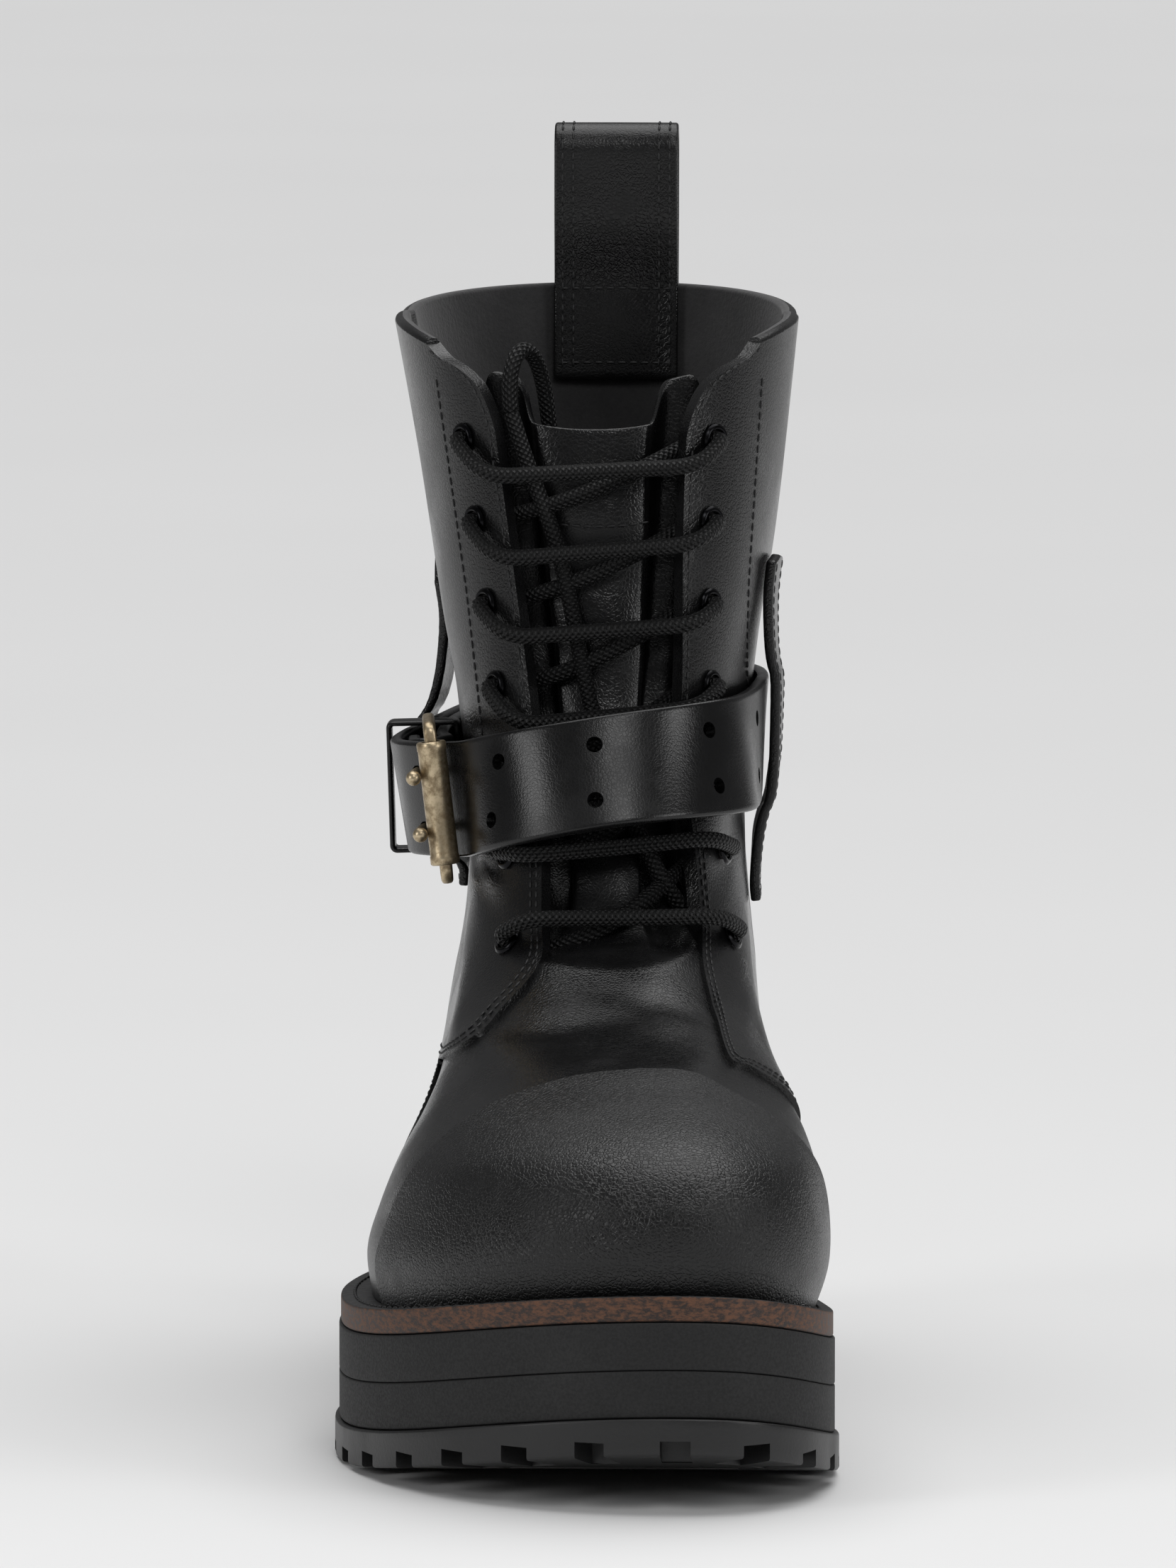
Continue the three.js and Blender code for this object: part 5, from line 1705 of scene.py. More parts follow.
@dataclass
class Belt:
    """The ankle belt with its buckle and its keepers."""

    finish: Finish
    stitches: StitchRuns
    height: float = 27.5
    thick: float = 3.0
    hole: float = 3.9
    spread: float = 13.5
    holes: tuple[float, ...] = (-1.66, -1.83, -2.01, -2.16)
    roller: float = 7.0
    prong: float = 2.6
    ball: float = 3.6
    frame_bar: float = 3.0
    keeper_width: float = 14.0
    keeper_thick: float = 2.4

    # Turn, distance off the leather and lean, a row for each place
    LINE = np.array(
        [
            [-0.43, 2.7, 0],
            [-0.49, 4.7, 0],
            [-0.6, 4.7, 0],
            [-0.78, 2.6, 0],
            [-0.9, 1.9, 0],
            [-1, 1.7, 0],
            [-1.4, 1.7, 0],
            [-1.58, 2.2, 0],
            [-1.68, 4.5, 0],
            [-1.76, 7.9, 0],
            [-1.86, 8.4, 0],
            [-2, 8.4, 0],
            [-2.14, 8.4, 0.04],
            [-2.21, 7.4, 0.12],
            [-2.27, 5.6, 0.18],
            [-2.33, 9.6, 0.18],
            [-2.39, 13.8, 0.14],
            [-2.44, 14.4, 0.12],
            [-2.49, 14.2, 0.1],
            [-2.54, 12, 0.06],
            [-2.59, 9.4, 0.02],
            [-2.64, 8, 0],
            [-2.7, 7.2, 0],
            [-2.8, 6.3, 0],
        ]
    )

    def __post_init__(self) -> None:
        """Places the buckle on the belt's path."""
        roller, rear = self.frames([-2.275]), self.frames([self.LINE[0, 0]])
        self.bar = self.frame_bar * math.sqrt(0.5) + GAP
        self.roller_at = roller.shift(out=self.thick + 4 * GAP + self.roller / 2)[0]
        self.rear_at = rear.shift(out=self.thick + self.bar)[0]
        self.up = roller.up[0]
        along = self.rear_at - self.roller_at
        along = along - self.up * along.dot(self.up)
        self.length = float(np.linalg.norm(along))
        self.along = along / self.length
        out = unit(np.cross(self.up, self.along))
        self.out = out * np.sign(out.dot(roller.out[0]))
        self.room = self.height / 2 + 1.5

    @staticmethod
    def height_at(x: Array | float) -> Array:
        """Height of the belt's middle at an x."""
        return height_of(BELT_RISE) + BELT_TILT * x

    def spot(self, turn: Array) -> tuple[Array, Array, Array]:
        """Middle of the belt's path on the leather.

        Args:
            turn: Turns, which may go round more than once.

        Returns:
            Levels, turns within one round, and points.
        """
        side = within_round(turn)
        level = LAST.level_at(self.height_at(0.0), side)
        for _ in range(4):
            level = LAST.level_at(self.height_at(LAST.face(level, side)[..., 0]), side)
        return level, side, LAST.skin(level, side)

    def frames(self, turns: Sequence[float] | Array) -> Frames:
        """Frames of the belt's inner face.

        Args:
            turns: Turns along the belt.

        Returns:
            The frames.
        """
        turn = np.asarray(turns, float)
        offset, lean = (np.interp(-turn, -self.LINE[:, 0], self.LINE[:, k])[:, None] for k in (1, 2))
        level, side, centre = self.spot(turn)
        along = self.spot(turn - 0.01)[2] - self.spot(turn + 0.01)[2]
        rate = np.linalg.norm(along, axis=-1) / 0.02
        along = unit(along)
        out = LAST.normal(level, side)
        out = unit(out - along * dot(out, along))
        up = np.cross(along, out)
        up *= np.sign(up[:, 2:3])
        bulge = np.zeros((len(turn), 1))
        for share in (-0.5, -0.25, 0.25, 0.5):
            height = centre[:, 2] + share * self.height * up[:, 2]
            near = turn.copy()
            for _ in range(4):
                round_turn = within_round(near)
                away = LAST.skin(LAST.level_at(height, round_turn), round_turn) - centre
                near = near + (dot(away, along) - share * self.height * dot(up, along))[:, 0] / rate
            bulge = np.maximum(bulge, dot(away, out))
        return Frames(centre + out * (offset + bulge), unit(up + out * lean), unit(out - up * lean))

    def in_buckle(self, along: float, up: float, out: float) -> Array:
        """Point in the buckle's own axes, from the roller's middle."""
        return self.roller_at + self.along * along + self.up * up + self.out * out

    def path(self) -> Frames:
        """The belt's path, from the fold behind the rear bar round the boot to its tail.

        Returns:
            The frames.
        """
        angles = np.concatenate([[np.pi, np.pi, np.pi], np.linspace(np.pi, 0, 18)])
        back = np.concatenate([[11.0, 8.0, 4.0], np.zeros(18)])
        out = self.out * np.cos(angles)[:, None] + self.along * np.sin(angles)[:, None]
        at = self.rear_at - out * (self.bar + self.thick) + self.along * back[:, None]
        share = np.linspace(1.6 / 72.6, 1, 250)
        main = self.frames(mix(self.LINE[0, 0], self.LINE[-1, 0], share))
        kernel = np.exp(-(np.arange(-6, 7) ** 2) / 10.0)
        kernel /= kernel.sum()
        parts = []
        for rows in (main.at, main.up, main.out):
            padded = np.vstack([2 * rows[0] - rows[6:0:-1], rows, 2 * rows[-1] - rows[-2:-8:-1]])
            parts.append(np.stack([np.convolve(padded[:, k], kernel, "valid") for k in range(3)], 1))
        return Frames(
            np.vstack([at, parts[0]]),
            np.vstack([np.broadcast_to(self.up, at.shape), unit(parts[1])]),
            np.vstack([out, unit(parts[2])]),
        )

    def prong_path(self, side: int) -> Array:
        """Middle line of one prong.

        Args:
            side: 1 for the upper prong, -1 for the lower one.

        Returns:
            Points from the rear bar to the ball.
        """
        height = side * self.spread / 2
        rest = self.roller / 2 + self.prong / 2 + GAP
        spots = (
            (self.length - 1.5 - self.prong / 2 - GAP, 0.0),
            (self.length * 0.72, rest * 0.35),
            (self.length * 0.3, rest),
            (-self.roller * 0.55, rest),
        )
        return np.array([self.in_buckle(a, height, o) for a, o in spots])

    def build_strap(self) -> None:
        """Makes the belt with its holes and the slots of the prongs."""
        frames = self.path()
        count = len(frames.at)
        left = np.linalg.norm(frames.at - frames.at[-1], axis=1)
        near_end = (np.arange(count) > count - 12) & (left < 9)
        inset = np.where(near_end, 9 - np.sqrt(np.maximum(81 - (9 - left) ** 2, 0.0)), 0.0)
        rings = strip(frames, self.height / 2 - inset, self.thick)
        mesh = Mesh()
        mesh.grid(rings, closed=True)
        cols = rings.shape[1]
        mesh.faces.append(tuple(reversed(range(cols))))
        last = (count - 1) * cols
        mesh.faces.append(tuple(range(last, last + cols)))
        strap = mesh.build("ankle_belt", self.finish.belt)
        outwards(strap)
        cutter = Mesh()
        for turn in self.holes:
            for side in (1, -1):
                spot = self.frames([turn + 0.006 * side])
                height = side * self.spread / 2
                ends = [spot.shift(height, d)[0] for d in (-5.0, 8.0)]
                cutter.tube(np.array(ends), self.hole / 2, 20, caps=False)
        for side in (1, -1):
            cutter.tube(rounded(self.prong_path(side)), self.prong / 2 + GAP + 0.15, 12)
        tool = cutter.build("belt_holes", self.finish.belt)
        outwards(tool)
        cut_by(strap, tool)
        strap.data.set_sharp_from_angle(angle=math.radians(45))
        finished(strap, Slot.BELT, "belt_strap")

    @staticmethod
    def ring_sweep(inner: Array, outer: Array, depth: float, axes: tuple[Array, ...]) -> Array:
        """Sweeps a rounded section between two closed outlines.

        Args:
            inner: Inner outline, two columns.
            outer: Outer outline, two columns.
            depth: Thickness along the third axis.
            axes: Origin and the three axes.

        Returns:
            Points by place and round the section.
        """
        origin, first, second, third = axes
        theta = np.linspace(0, 2 * np.pi, 16, endpoint=False)
        square = lambda v: np.sign(v) * np.abs(v) ** 0.55  # noqa: E731
        middle, reach = (inner + outer) / 2, (outer - inner) / 2
        flat = middle[:, None] + reach[:, None] * square(np.cos(theta))[None, :, None]
        height = np.broadcast_to(square(np.sin(theta)) * depth / 2, flat.shape[:2])
        return origin + flat[..., :1] * first + flat[..., 1:] * second + height[..., None] * third

    @staticmethod
    def outline(low: tuple[float, float], high: tuple[float, float], radius: float) -> Array:
        """Rounded rectangle with the same number of points whatever its size.

        Args:
            low: Lowest corner.
            high: Highest corner.
            radius: Corner radius.

        Returns:
            Points round it, the first repeated at the end.
        """
        corners = ((high[0], high[1], 0), (low[0], high[1], 1), (low[0], low[1], 2), (high[0], low[1], 3))
        points = []
        for x, y, quarter in corners:
            angle = np.linspace(0, np.pi / 2, 6) + quarter * np.pi / 2
            corner = np.array([x, y])
            centre = corner - radius * np.sign(corner - (np.array(low) + np.array(high)) / 2)
            points.append(centre + radius * np.stack([np.cos(angle), np.sin(angle)], 1))
        ring = np.concatenate(points)
        return np.vstack([ring, ring[:1]])

    def build_buckle(self) -> None:
        """Makes the buckle's frame, roller and prongs."""
        top = self.room + 4.2
        axes = (self.roller_at, self.along, self.up, self.out)
        inner = self.outline((1.5, -self.room), (self.length - 1.5, self.room), 1.0)
        outer = self.outline((-1.5, -top), (self.length + 1.5, top), 3.2)
        mesh = Mesh()
        mesh.grid(self.ring_sweep(inner, outer, self.frame_bar, axes), closed=True)
        body = mesh.build("buckle_body", self.finish.brass)
        outwards(body, weld=True)
        finished(body, Slot.BRASS, "buckle_frame")
        half = self.room - 0.6
        profile = [(-half, 2.3), (-half, 3.2), (-half + 0.3, 3.5), (-half + 2, 3.5), (-half + 2.3, 3.38)]
        profile += [(-u, r) for u, r in profile[::-1]]
        mesh = Mesh()
        rim = circle(self.along, self.out, 32)
        mesh.grid(np.stack([self.roller_at + self.up * u + rim * r for u, r in profile]), closed=True)
        roller = mesh.build("buckle_tube", self.finish.brass)
        outwards(roller)
        roller.data.set_sharp_from_angle(angle=math.radians(50))
        finished(roller, Slot.BRASS, "buckle_roller")
        for number, side in enumerate((1, -1), 1):
            mesh = Mesh()
            path = self.prong_path(side)
            line = rounded(path)
            mesh.tube(evenly(line, 50), self.prong / 2, 14)
            theta = np.linspace(0, np.pi, 13)[:, None]
            phi = np.linspace(0, 2 * np.pi, 20, endpoint=False)[None]
            parts = (np.sin(theta) * np.cos(phi), np.sin(theta) * np.sin(phi), np.cos(theta) + 0 * phi)
            mesh.grid(path[-1] + np.stack(parts, -1) * self.ball / 2, closed=True, flip=True)
            finished(mesh.build(f"prong_{number}", self.finish.brass), Slot.BRASS, f"buckle_prong_{number}")

    def build_keeper(
        self, name: str, node: str, y: float, side: int, over: float, top: float, point: float
    ) -> None:
        """Makes a strap sewn to the shaft that the belt passes behind.

        Args:
            name: Piece name.
            node: Node that it replaces.
            y: Its place along the boot.
            side: 1 for medial, -1 for lateral.
            over: Distance of its inner face off the leather over the belt.
            top: Its top as a share of the collar's rise.
            point: How far its tip comes to a point.
        """
        level, _ = LAST.flank_spot(y, height_of(BELT_RISE), side)
        belt_at = float(self.height_at(LAST.face(level, side * 0.5)[0]))
        half, room, foot = self.height / 2, OVERLAY + 2 * GAP, 0.375
        rows = np.array(
            [
                [height_of(top), room],
                [height_of(top) - 9, room],
                [belt_at + half + 6, mix(room, over, 0.45)],
                [belt_at + half, over],
                [belt_at - half, over],
                [belt_at - half - 5, mix(room, over, 0.45)],
                [height_of(foot) + 5, room],
                [height_of(foot), room],
            ]
        )
        line = evenly(rounded(rows, 2), 90)
        z, off = line[:, :1], line[:, 1:]

        def face(out: float, k: Array) -> Array:
            """Points of the strap's face.

            Args:
                out: Distance from its inner face.
                k: Places across, from -0.5 to 0.5.

            Returns:
                Points by place along it and across it.
            """
            tip = point * (1 - 2 * np.abs(k)) * smooth((z - height_of(top) + 9) / 9)
            k, height = np.broadcast_arrays(k, z + tip)
            return LAST.skin(*LAST.flank_spot(y + k * self.keeper_width, height, side), off + out)

        columns = np.linspace(-0.5, 0.5, 9)[None]
        mesh = Mesh()
        mesh.sheet(face(self.keeper_thick, columns), face(0.0, columns))
        strap = mesh.build(name, self.finish.upper)
        outwards(strap)
        softened(strap, 0.6)
        finished(strap, Slot.UPPER, node)
        sewn = self.keeper_thick + 0.02
        runs = [face(sewn, np.array([[k]]))[2:-2, 0] for k in (-0.36, 0.36)]
        self.stitches.sew(name + "_stitches", runs, Slot.UPPER, 2.6, 0.2)

    def build_ring(self) -> None:
        """Makes the small loop that holds both layers of the belt."""
        spot = self.frames([-0.53])
        outs, ups = [], []
        for layer, face in ((0, 0.0), (2, self.thick)):
            near = self.frames(np.array([-0.03, 0.0, 0.03]) - 0.53 - layer)
            for side in (-1, 1):
                corner = near.shift(side * self.height / 2, face) - spot.at
                outs.extend(corner @ spot.out[0])
                ups.extend(corner @ spot.up[0])
        low = (min(outs) - 0.5, min(ups) - 0.5)
        high = (max(outs) + 0.5, max(ups) + 0.5)
        inner = self.outline(low, high, 0.6)
        outer = self.outline((low[0] - 1.4, low[1] - 1.4), (high[0] + 1.4, high[1] + 1.4), 1.8)
        axes = (spot.at[0], spot.out[0], spot.up[0], np.cross(spot.out[0], spot.up[0]))
        mesh = Mesh()
        mesh.grid(self.ring_sweep(inner, outer, 8.0, axes), closed=True)
        ring = mesh.build("belt_ring", self.finish.belt)
        outwards(ring, weld=True)
        finished(ring, Slot.BELT, "keeper_ring")

    def build(self) -> None:
        """Makes the belt, its buckle, its ring and its keepers."""
        self.build_strap()
        self.build_buckle()
        self.build_ring()
        under = self.thick + 2 * GAP
        self.build_keeper("strap_medial", "keeper_medial", 67, 1, 3.4 + under, 0.775, 1)
        self.build_keeper("strap_lateral", "keeper_lateral", 96, -1, 10.6 + under, 0.735, 6)


def outwards(obj: bpy.types.Object, weld: bool = False) -> None:
    """Turns the faces of closed shells outwards.

    Args:
        obj: The object.
        weld: Whether doubled points are merged first.
    """
    work = bmesh.new()
    work.from_mesh(obj.data)
    if weld:
        bmesh.ops.remove_doubles(work, verts=work.verts, dist=0.5e-5)
    bmesh.ops.recalc_face_normals(work, faces=work.faces)
    work.to_mesh(obj.data)
    work.free()


@dataclass
class PullLoop:
    """The strap folded over the back of the collar, sewn inside and outside."""

    finish: Finish
    stitches: StitchRuns
    width: float = 30.0
    thick: float = 2.3
    height: float = 40.0
    patch: float = 22.0
    bow: float = 9.0

    def face(self, x: Array, out: Array | float) -> Array:
        """Points of the strap, by place along it and across it.

        Args:
            x: Places across.
            out: Distance from its inner face.

        Returns:
            Points.
        """
        rim = float(LAST.face(float(LAST.TOP), 1.0)[2])
        inner, outer = -WALL - 3 * GAP, OVERLAY + 2 * GAP
        middle, half = (inner + outer) / 2, (outer - inner) / 2
        arch = self.height - self.bow / 2 - self.thick
        leg = np.linspace(0, 1, 12)
        rise = np.linspace(0, 1, 16)[1:]
        angle = np.linspace(0, np.pi, 16)[1:-1]
        spread = mix(half, self.bow / 2, smooth(rise * 1.6))
        up_leg, up_arch = rim - self.patch * (1 - leg), rim + arch * rise
        down_leg, down_arch = rim - self.patch * (1 - leg[::-1]), rim + arch * rise[::-1]
        z = np.concatenate([up_leg, up_arch, np.full(14, rim + arch), down_arch, down_leg])[:, None]
        side = np.concatenate([-np.ones(27), np.zeros(14), np.ones(27)])[:, None]
        apart = np.concatenate([np.full(12, -half), -spread, np.zeros(14), spread[::-1], np.full(12, half)])
        apart = apart[:, None]
        up = np.concatenate([np.zeros(12), rise, np.ones(14), rise[::-1], np.zeros(12)])[:, None]
        low = np.minimum(z, rim - 0.5)
        x, low, apart, side, up, z = np.broadcast_arrays(np.asarray(x)[None], low, apart, side, up, z)
        off = middle + apart + side * out
        point = LAST.skin(*self.back_spot(x, low), off)
        seam = LAST.skin(LAST.level_at(low, np.ones(x.shape)), 1.0, off)
        point[..., 1] = mix(point[..., 1], seam[..., 1], up * 0.7)
        point[..., 0], point[..., 2] = x, z
        arching = slice(27, 41)
        reach = self.bow / 2 + out
        point[arching, :, 1] -= np.cos(angle)[:, None] * reach
        point[arching, :, 2] += np.sin(angle)[:, None] * reach
        return point

    @staticmethod
    def back_spot(x: Array, z: Array) -> tuple[Array, Array]:
        """Level and turn of points on the back of the shaft.

        Args:
            x: Places across.
            z: Heights.

        Returns:
            Levels and turns.
        """
        side = np.where(x < 0, -1.0, 1.0)
        turn = side * bisected(
            0.6,
            1.0,
            x.shape,
            lambda t: np.abs(LAST.face(LAST.level_at(z, side * t), side * t)[..., 0]) > np.abs(x),
            24,
        )
        return LAST.level_at(z, turn), turn

    def build(self) -> None:
        """Makes the loop and sews it."""
        half = self.width / 2
        x = np.linspace(-half, half, 13)
        mesh = Mesh()
        mesh.sheet(self.face(x, self.thick), self.face(x, 0.0))
        strap = mesh.build("heel_loop", self.finish.upper)
        outwards(strap)
        softened(strap, 0.6)
        finished(strap, Slot.UPPER, "pull_loop")
        across = np.array([-half + 2.0, -half + 4.6, half - 4.6, half - 2.0])
        lines = self.face(across, self.thick + 0.1)
        runs = [lines[2:-2, k] for k in range(4)]
        for row in (11, -12, 2, -3):
            runs.append(self.face(np.linspace(-half + 2.5, half - 2.5, 20), self.thick + 0.1)[row])
        self.stitches.sew("loop_stitches", runs, Slot.UPPER, 2.6, 0.32)


@dataclass
class Sole:
    """The sole's layers, from the lugged rubber up to the insole."""

    finish: Finish
    stitches: StitchRuns
    samples: int = 150
    midsole_inset: float = 1.0
    welt_inset: float = 1.4
    stitch_inset: float = 4.6

    def ring(self, plan: Plan, y0: float, y1: float, height: Callable[[Array], Array]) -> Array:
        """Closed outline at one height.

        Args:
            plan: Plan curve.
            y0: Front end.
            y1: Back end.
            height: Height at a y.

        Returns:
            Lateral points from the front, then medial points from the back.
        """
        turn = np.linspace(0, 1, self.samples)
        round_front, round_back = y0 <= plan.front + 0.01, y1 >= plan.back - 0.01
        if round_front and round_back:
            along = (1 - np.cos(np.pi * turn)) / 2
        elif round_front:
            along = 1 - np.cos(np.pi / 2 * turn)
        else:
            along = np.sin(np.pi / 2 * turn)
        y = mix(y0, y1, along)
        lateral, medial = plan.width(y, -np.ones(y.shape)), plan.width(y, np.ones(y.shape))
        z = height(y)
        left = np.stack([lateral - 0.02, y, z], 1)
        right = np.stack([medial + 0.02, y, z], 1)
        return np.concatenate([left, right[::-1]])

    def slab(
        self,
        plan: Plan,
        low: Callable[[Array], Array],
        high: Callable[[Array], Array],
        span: tuple[float, float] | None = None,
        soft: float = 1.0,
    ) -> Mesh:
        """Plate with rounded edges between two heights.

        Args:
            plan: Its outline.
            low: Height of its underside at a y.
            high: Height of its top at a y.
            span: Front and back ends, or the plan's own.
            soft: Radius of its edges.

        Returns:
            The mesh so far.
        """
        front, back = span or (float(plan.front), float(plan.back))
        corner = np.linspace(0, np.pi / 2, 5)
        steps = [(soft * (1 - np.sin(a)), soft * (1 - np.cos(a)), False) for a in corner]
        steps += [(0.0, k, None) for k in (-0.5, 0.0, 0.5)]
        steps += [(inset, up, True) for inset, up, _ in reversed(steps[:5])]
        rings = []
        for inset, up, from_top in steps:
            if from_top is None:
                height = lambda y, k=up: mix(low(y), high(y), 0.5 + k * 0.5)  # noqa: E731
            elif from_top:
                height = lambda y, d=up: high(y) - d  # noqa: E731
            else:
                height = lambda y, d=up: low(y) + d  # noqa: E731
            rings.append(self.ring(plan.drawn_in(inset), front + inset, back - inset, height))
        mesh = Mesh()
        points = np.stack(rings)
        mesh.grid(points, closed=True)
        count, half = points.shape[1], self.samples
        top = (len(rings) - 1) * count
        for i in range(half - 1):
            quad = (i, i + 1, count - 2 - i, count - 1 - i)
            mesh.faces.append(quad)
            mesh.faces.append(tuple(top + q for q in reversed(quad)))
        return mesh

    @staticmethod
    def edge_spots(y0: float, y1: float) -> list[tuple[float, float, float]]:
        """Places of the notches round the edge, at even steps from the nose.

        Args:
            y0: Front end.
            y1: Back end.

        Returns:
            x, y and direction of each.
        """
        k = np.concatenate([np.linspace(1, 0, 241), np.linspace(0, 1, 241)])
        side = np.repeat([-1.0, 1.0], 241)
        y = mix(SOLE_PLAN.front, SOLE_PLAN.back, (1 - np.cos(np.pi * k)) / 2)
        track = np.stack([SOLE_PLAN.width(y, side), y], 1)
        spots = []
        for way in (-1, 1):
            due, i = 0.0, 240
            while 0 < i < len(track) - 1:
                step = track[i + way] - track[i]
                due += float(np.linalg.norm(step))
                i += way
                if due >= LUG_PITCH:
                    due -= LUG_PITCH
                    if y0 <= track[i][1] <= y1:
                        spots.append((track[i][0], track[i][1], math.atan2(step[1], step[0])))
        if y0 <= SOLE_PLAN.front:
            ahead = track[241] - track[239]
            spots.append((track[240][0], track[240][1], math.atan2(ahead[1], ahead[0])))
        return spots

    def lugged(self, name: str, node: str, span: tuple[float, float], low: Callable, high: Callable) -> None:
        """Makes a rubber plate with notches and grooves.

        Args:
            name: Piece name.
            node: Node that it replaces.
            span: Front and back ends.
            low: Height of its underside.
            high: Height of its top.
        """
        plate = self.slab(SOLE_PLAN, low, high, span, 0.7).build(name, self.finish.rubber)
        outwards(plate)
        mesh = Mesh()
        cube = np.array([(x, y, z) for z in (-1, 1) for y in (-1, 1) for x in (-1, 1)], float)
        sides = ((0, 2, 3, 1), (4, 5, 7, 6), (0, 1, 5, 4), (2, 6, 7, 3), (0, 4, 6, 2), (1, 3, 7, 5))

        def block(x: float, y: float, wide: float, deep: float, turn: float) -> None:
            """Adds a turned block to what is cut away.

            Args:
                x: Its middle across the boot.
                y: Its middle along the boot.
                wide: Its first side.
                deep: Its second side.
                turn: Its turn about the upright, in radians.
            """
            local = cube * (wide / 2, deep / 2, LUG_DEPTH)
            c, s = math.cos(turn), math.sin(turn)
            first, second, third = local.T
            spun = np.stack([first * c - second * s, first * s + second * c, third], 1)
            mesh.add(spun + (x, y, float(low(np.array(y)))), sides)

        for x, y, turn in self.edge_spots(*span):
            block(x, y, NOTCH_WIDTH, 2 * NOTCH_REACH, turn)
        first, last = (-0.4, 0.09) if span[0] < 0 else ((span[0] + LUG_PITCH) / SOLE_LENGTH, 0.42)
        for y in np.arange(first * SOLE_LENGTH, last * SOLE_LENGTH, LUG_PITCH):
            at = np.array([y])
            left = SOLE_PLAN.width(at, np.array([-1.0]))[0] + NOTCH_REACH + NOTCH_WIDTH
            right = SOLE_PLAN.width(at, np.array([1.0]))[0] - NOTCH_REACH - NOTCH_WIDTH
            block((left + right) / 2, y, right - left, NOTCH_WIDTH, 0.0)
        tool = mesh.build("lug_gaps", self.finish.rubber, flat=True)
        outwards(tool)
        cut_by(plate, tool)
        plate.data.set_sharp_from_angle(angle=math.radians(40))
        finished(plate, Slot.RUBBER, node)

    def build(self) -> None:
        """Makes every layer of the sole."""
        lifted = lambda h: lambda y: line_lift(y) + h  # noqa: E731
        flat = lambda h: lambda y: np.zeros_like(y) + h  # noqa: E731
        arch, breast = 0.12 * SOLE_LENGTH, 0.165 * SOLE_LENGTH
        half = SOLE_LENGTH / 2
        top = OUTSOLE_THICK - GAP
        self.lugged("rubber_front", "outsole_front", (-half, arch), lifted(0), lifted(top))
        self.lugged("rubber_heel", "outsole_heel", (breast, half), flat(0), flat(top))
        body = SOLE_PLAN.drawn_in(self.midsole_inset)
        span = (breast + self.midsole_inset, float(body.back))
        block = self.slab(body, flat(OUTSOLE_THICK), lifted(MIDSOLE_BASE - GAP), span)
        pieces = [("heel_lift", "heel_block", block)]
        for name, node, base in (
            ("foam_lower", "midsole_lower", MIDSOLE_BASE),
            ("foam_upper", "midsole_upper", UPPER_MIDSOLE_BASE),
        ):
            layer = self.slab(body, lifted(base - 0.1), lifted(base + MIDSOLE_THICK - GAP + 0.1), soft=0.5)
            pieces.append((name, node, layer))
        for name, node, mesh in pieces:
            made = mesh.build(name, self.finish.foam)
            outwards(made)
            made.data.set_sharp_from_angle(angle=math.radians(50))
            finished(made, Slot.FOAM, node)
        rim = SOLE_PLAN.drawn_in(self.welt_inset)
        welt = self.slab(rim, lifted(WELT_BASE), lifted(WELT_BASE + WELT_THICK), soft=0.6)
        made = welt.build("welt_strip", self.finish.welt)
        outwards(made)
        finished(made, Slot.WELT, "welt")
        inside = LAST.rows(np.array(0.0))
        inner = Plan(inside[0], inside[2], *inside[4:]).drawn_in(WALL + 0.6)
        board = self.slab(inner, lifted(STACK_TOP), lifted(STACK_TOP + INSOLE_THICK), soft=0.8)
        made = board.build("insole_board", self.finish.lining)
        outwards(made)
        finished(made, Slot.LINING, "insole")
        sewn, inset = lifted(WELT_BASE + WELT_THICK + 0.12), self.stitch_inset
        edge = self.ring(SOLE_PLAN.drawn_in(inset), -half + inset, half - inset, sewn)
        self.stitches.sew("welt_stitches", [evenly(edge, 900)], Slot.WELT, 3.4, 0.42)


@dataclass(frozen=True)
class Lamp:
    """One soft area light."""

    name: str
    at: tuple[float, float, float]
    size: float
    power: float


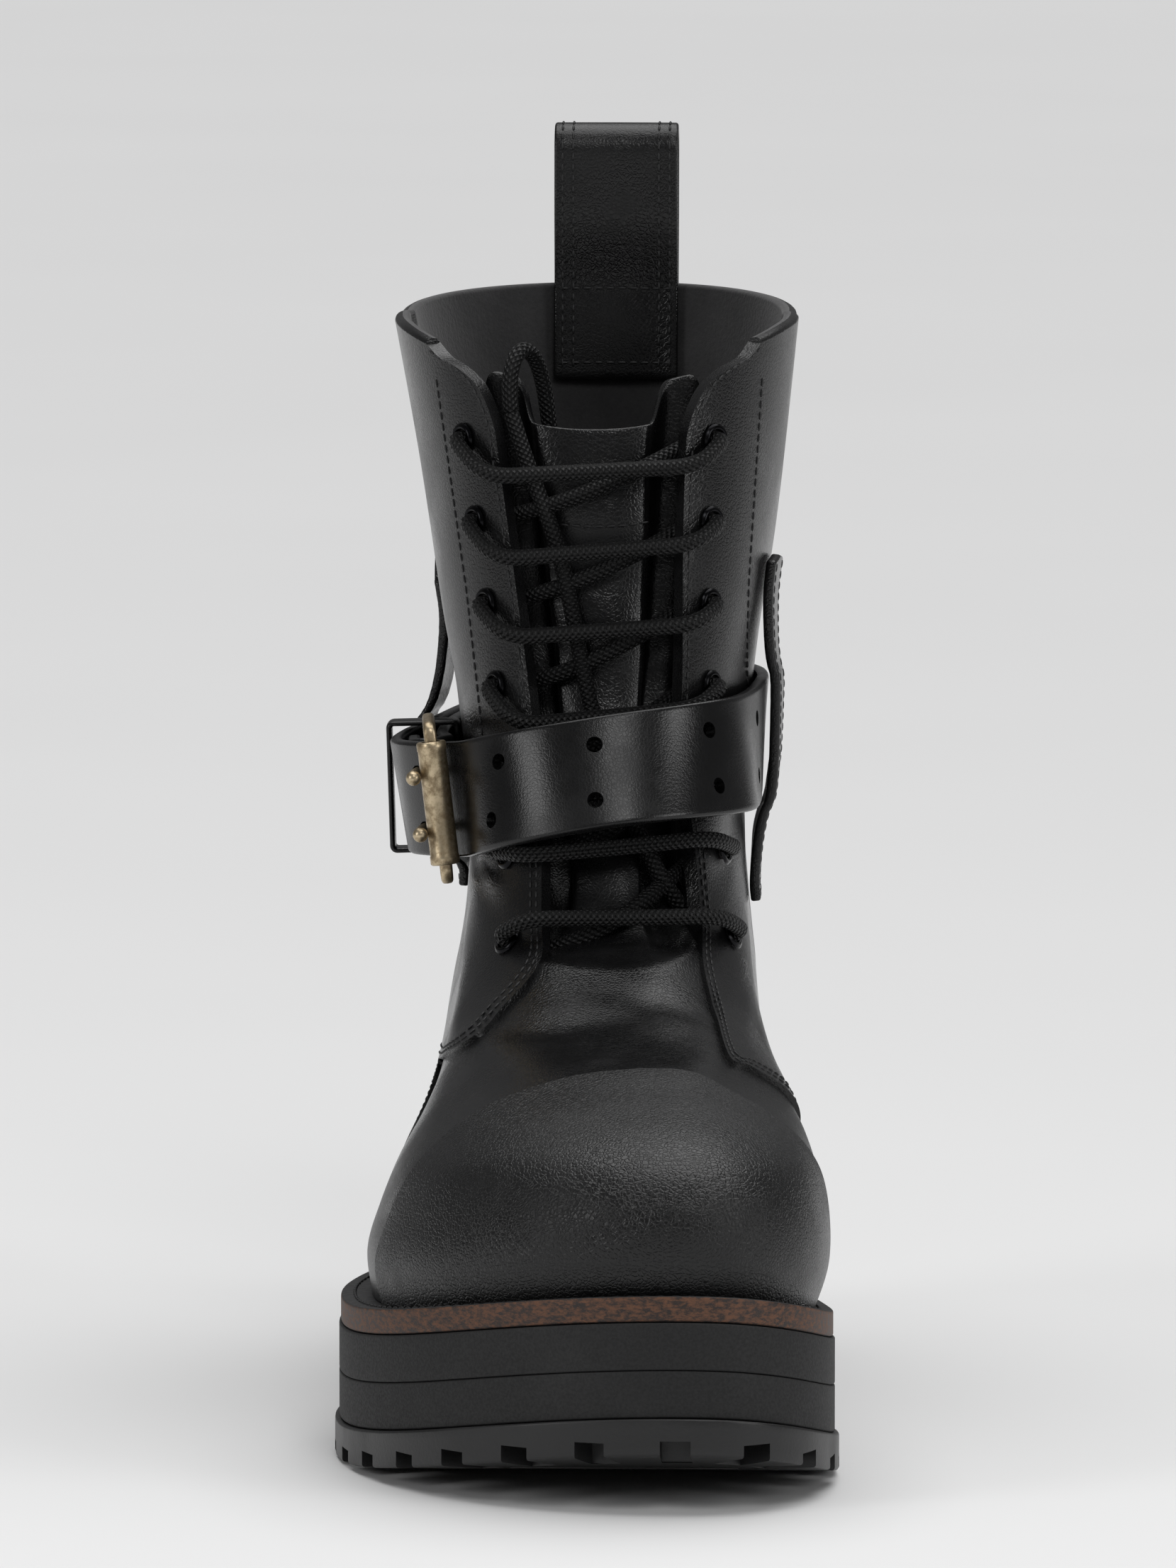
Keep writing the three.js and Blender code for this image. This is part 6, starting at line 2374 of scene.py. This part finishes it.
@dataclass
class Studio:
    """Camera, floor and lights."""

    azimuth: float = 2.0
    elevation: float = 6.5
    distance: float = 3.7
    lens: float = 361.4
    target: tuple[float, float, float] = (-0.00205, 0.0, 0.14975)
    sun_power: float = 2.3
    sun_size: float = 65.0
    sun_tilt: tuple[float, float] = (-14.0, 6.0)
    aim_height: float = 0.12
    floor_reach: float = 14000.0
    air: tuple[float, float, float, float] = (0.93, 0.93, 0.94, 1.0)
    air_strength: float = 0.16
    lamps: tuple[Lamp, ...] = (
        Lamp("left", (-1.7, -1.2, 0.9), 0.9, 9.0),
        Lamp("right", (1.7, -1.0, 0.8), 0.9, 8.0),
        Lamp("front", (0.5, -2.0, 2.0), 0.9, 11.0),
    )

    def build_camera(self) -> None:
        """Sets the camera at the photograph's angle."""
        data = bpy.data.cameras.new("view")
        data.lens = self.lens
        data.sensor_width = 36.0
        data.clip_end = 100.0
        a, e = math.radians(self.azimuth), math.radians(self.elevation)
        away = Vector((math.sin(a) * math.cos(e), -math.cos(a) * math.cos(e), math.sin(e)))
        camera = bpy.data.objects.new("view", data)
        bpy.context.scene.collection.objects.link(camera)
        camera.location = Vector(self.target) + away * self.distance
        camera.rotation_euler = away.to_track_quat("Z", "Y").to_euler()
        bpy.context.scene.camera = camera

    def build_floor(self, material: bpy.types.Material) -> None:
        """Lays the pale floor.

        Args:
            material: Its material.
        """
        mesh = Mesh()
        steps = np.linspace(-self.floor_reach, self.floor_reach, 15)
        x, y = np.meshgrid(steps, steps)
        mesh.grid(np.stack([x, y, np.zeros_like(x)], -1))
        mesh.build("floor", material)

    def build_lights(self) -> None:
        """Places the soft lights and the pale surroundings."""
        for lamp in self.lamps:
            data = bpy.data.lights.new(lamp.name, "AREA")
            data.shape = "DISK"
            data.size = lamp.size
            data.energy = lamp.power
            obj = bpy.data.objects.new(lamp.name, data)
            bpy.context.scene.collection.objects.link(obj)
            obj.location = lamp.at
            aim = Vector(lamp.at) - Vector((0.0, 0.0, self.aim_height))
            obj.rotation_euler = aim.to_track_quat("Z", "Y").to_euler()
        sun = bpy.data.lights.new("overhead", "SUN")
        sun.energy = self.sun_power
        sun.angle = math.radians(self.sun_size)
        obj = bpy.data.objects.new("overhead", sun)
        bpy.context.scene.collection.objects.link(obj)
        obj.rotation_euler = (*(math.radians(tilt) for tilt in self.sun_tilt), 0.0)
        world = bpy.data.worlds.new("surroundings")
        world.use_nodes = True
        light = world.node_tree.nodes["Background"]
        light.inputs["Color"].default_value = self.air
        light.inputs["Strength"].default_value = self.air_strength
        bpy.context.scene.world = world


def main() -> None:
    """Builds the boot over its frame."""
    logging.basicConfig(level=logging.INFO, format="%(message)s")
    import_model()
    bpy.context.scene.view_settings.view_transform = "Standard"
    studio = Studio()
    studio.build_camera()
    finish = Finish()
    stitches = StitchRuns(finish.thread)
    upper = Upper(finish, stitches)
    steps: tuple[tuple[str, Callable[[], None]], ...] = (
        ("laces", Laces(finish, upper).build),
        ("sole", Sole(finish, stitches).build),
        ("quarters", upper.build_quarters),
        ("vamp", upper.build_vamp),
        ("toe cap", upper.build_cap),
        ("tongue", upper.build_tongue),
        ("seams", upper.build_seams),
        ("eyelets", upper.build_eyelets),
        ("belt", Belt(finish, stitches).build),
        ("pull loop", PullLoop(finish, stitches).build),
        ("lights", studio.build_lights),
    )
    for name, build in steps:
        build()
        LOG.info("built %s", name)
    studio.build_floor(finish.floor)
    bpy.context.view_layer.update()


if __name__ == "__main__":
    main()
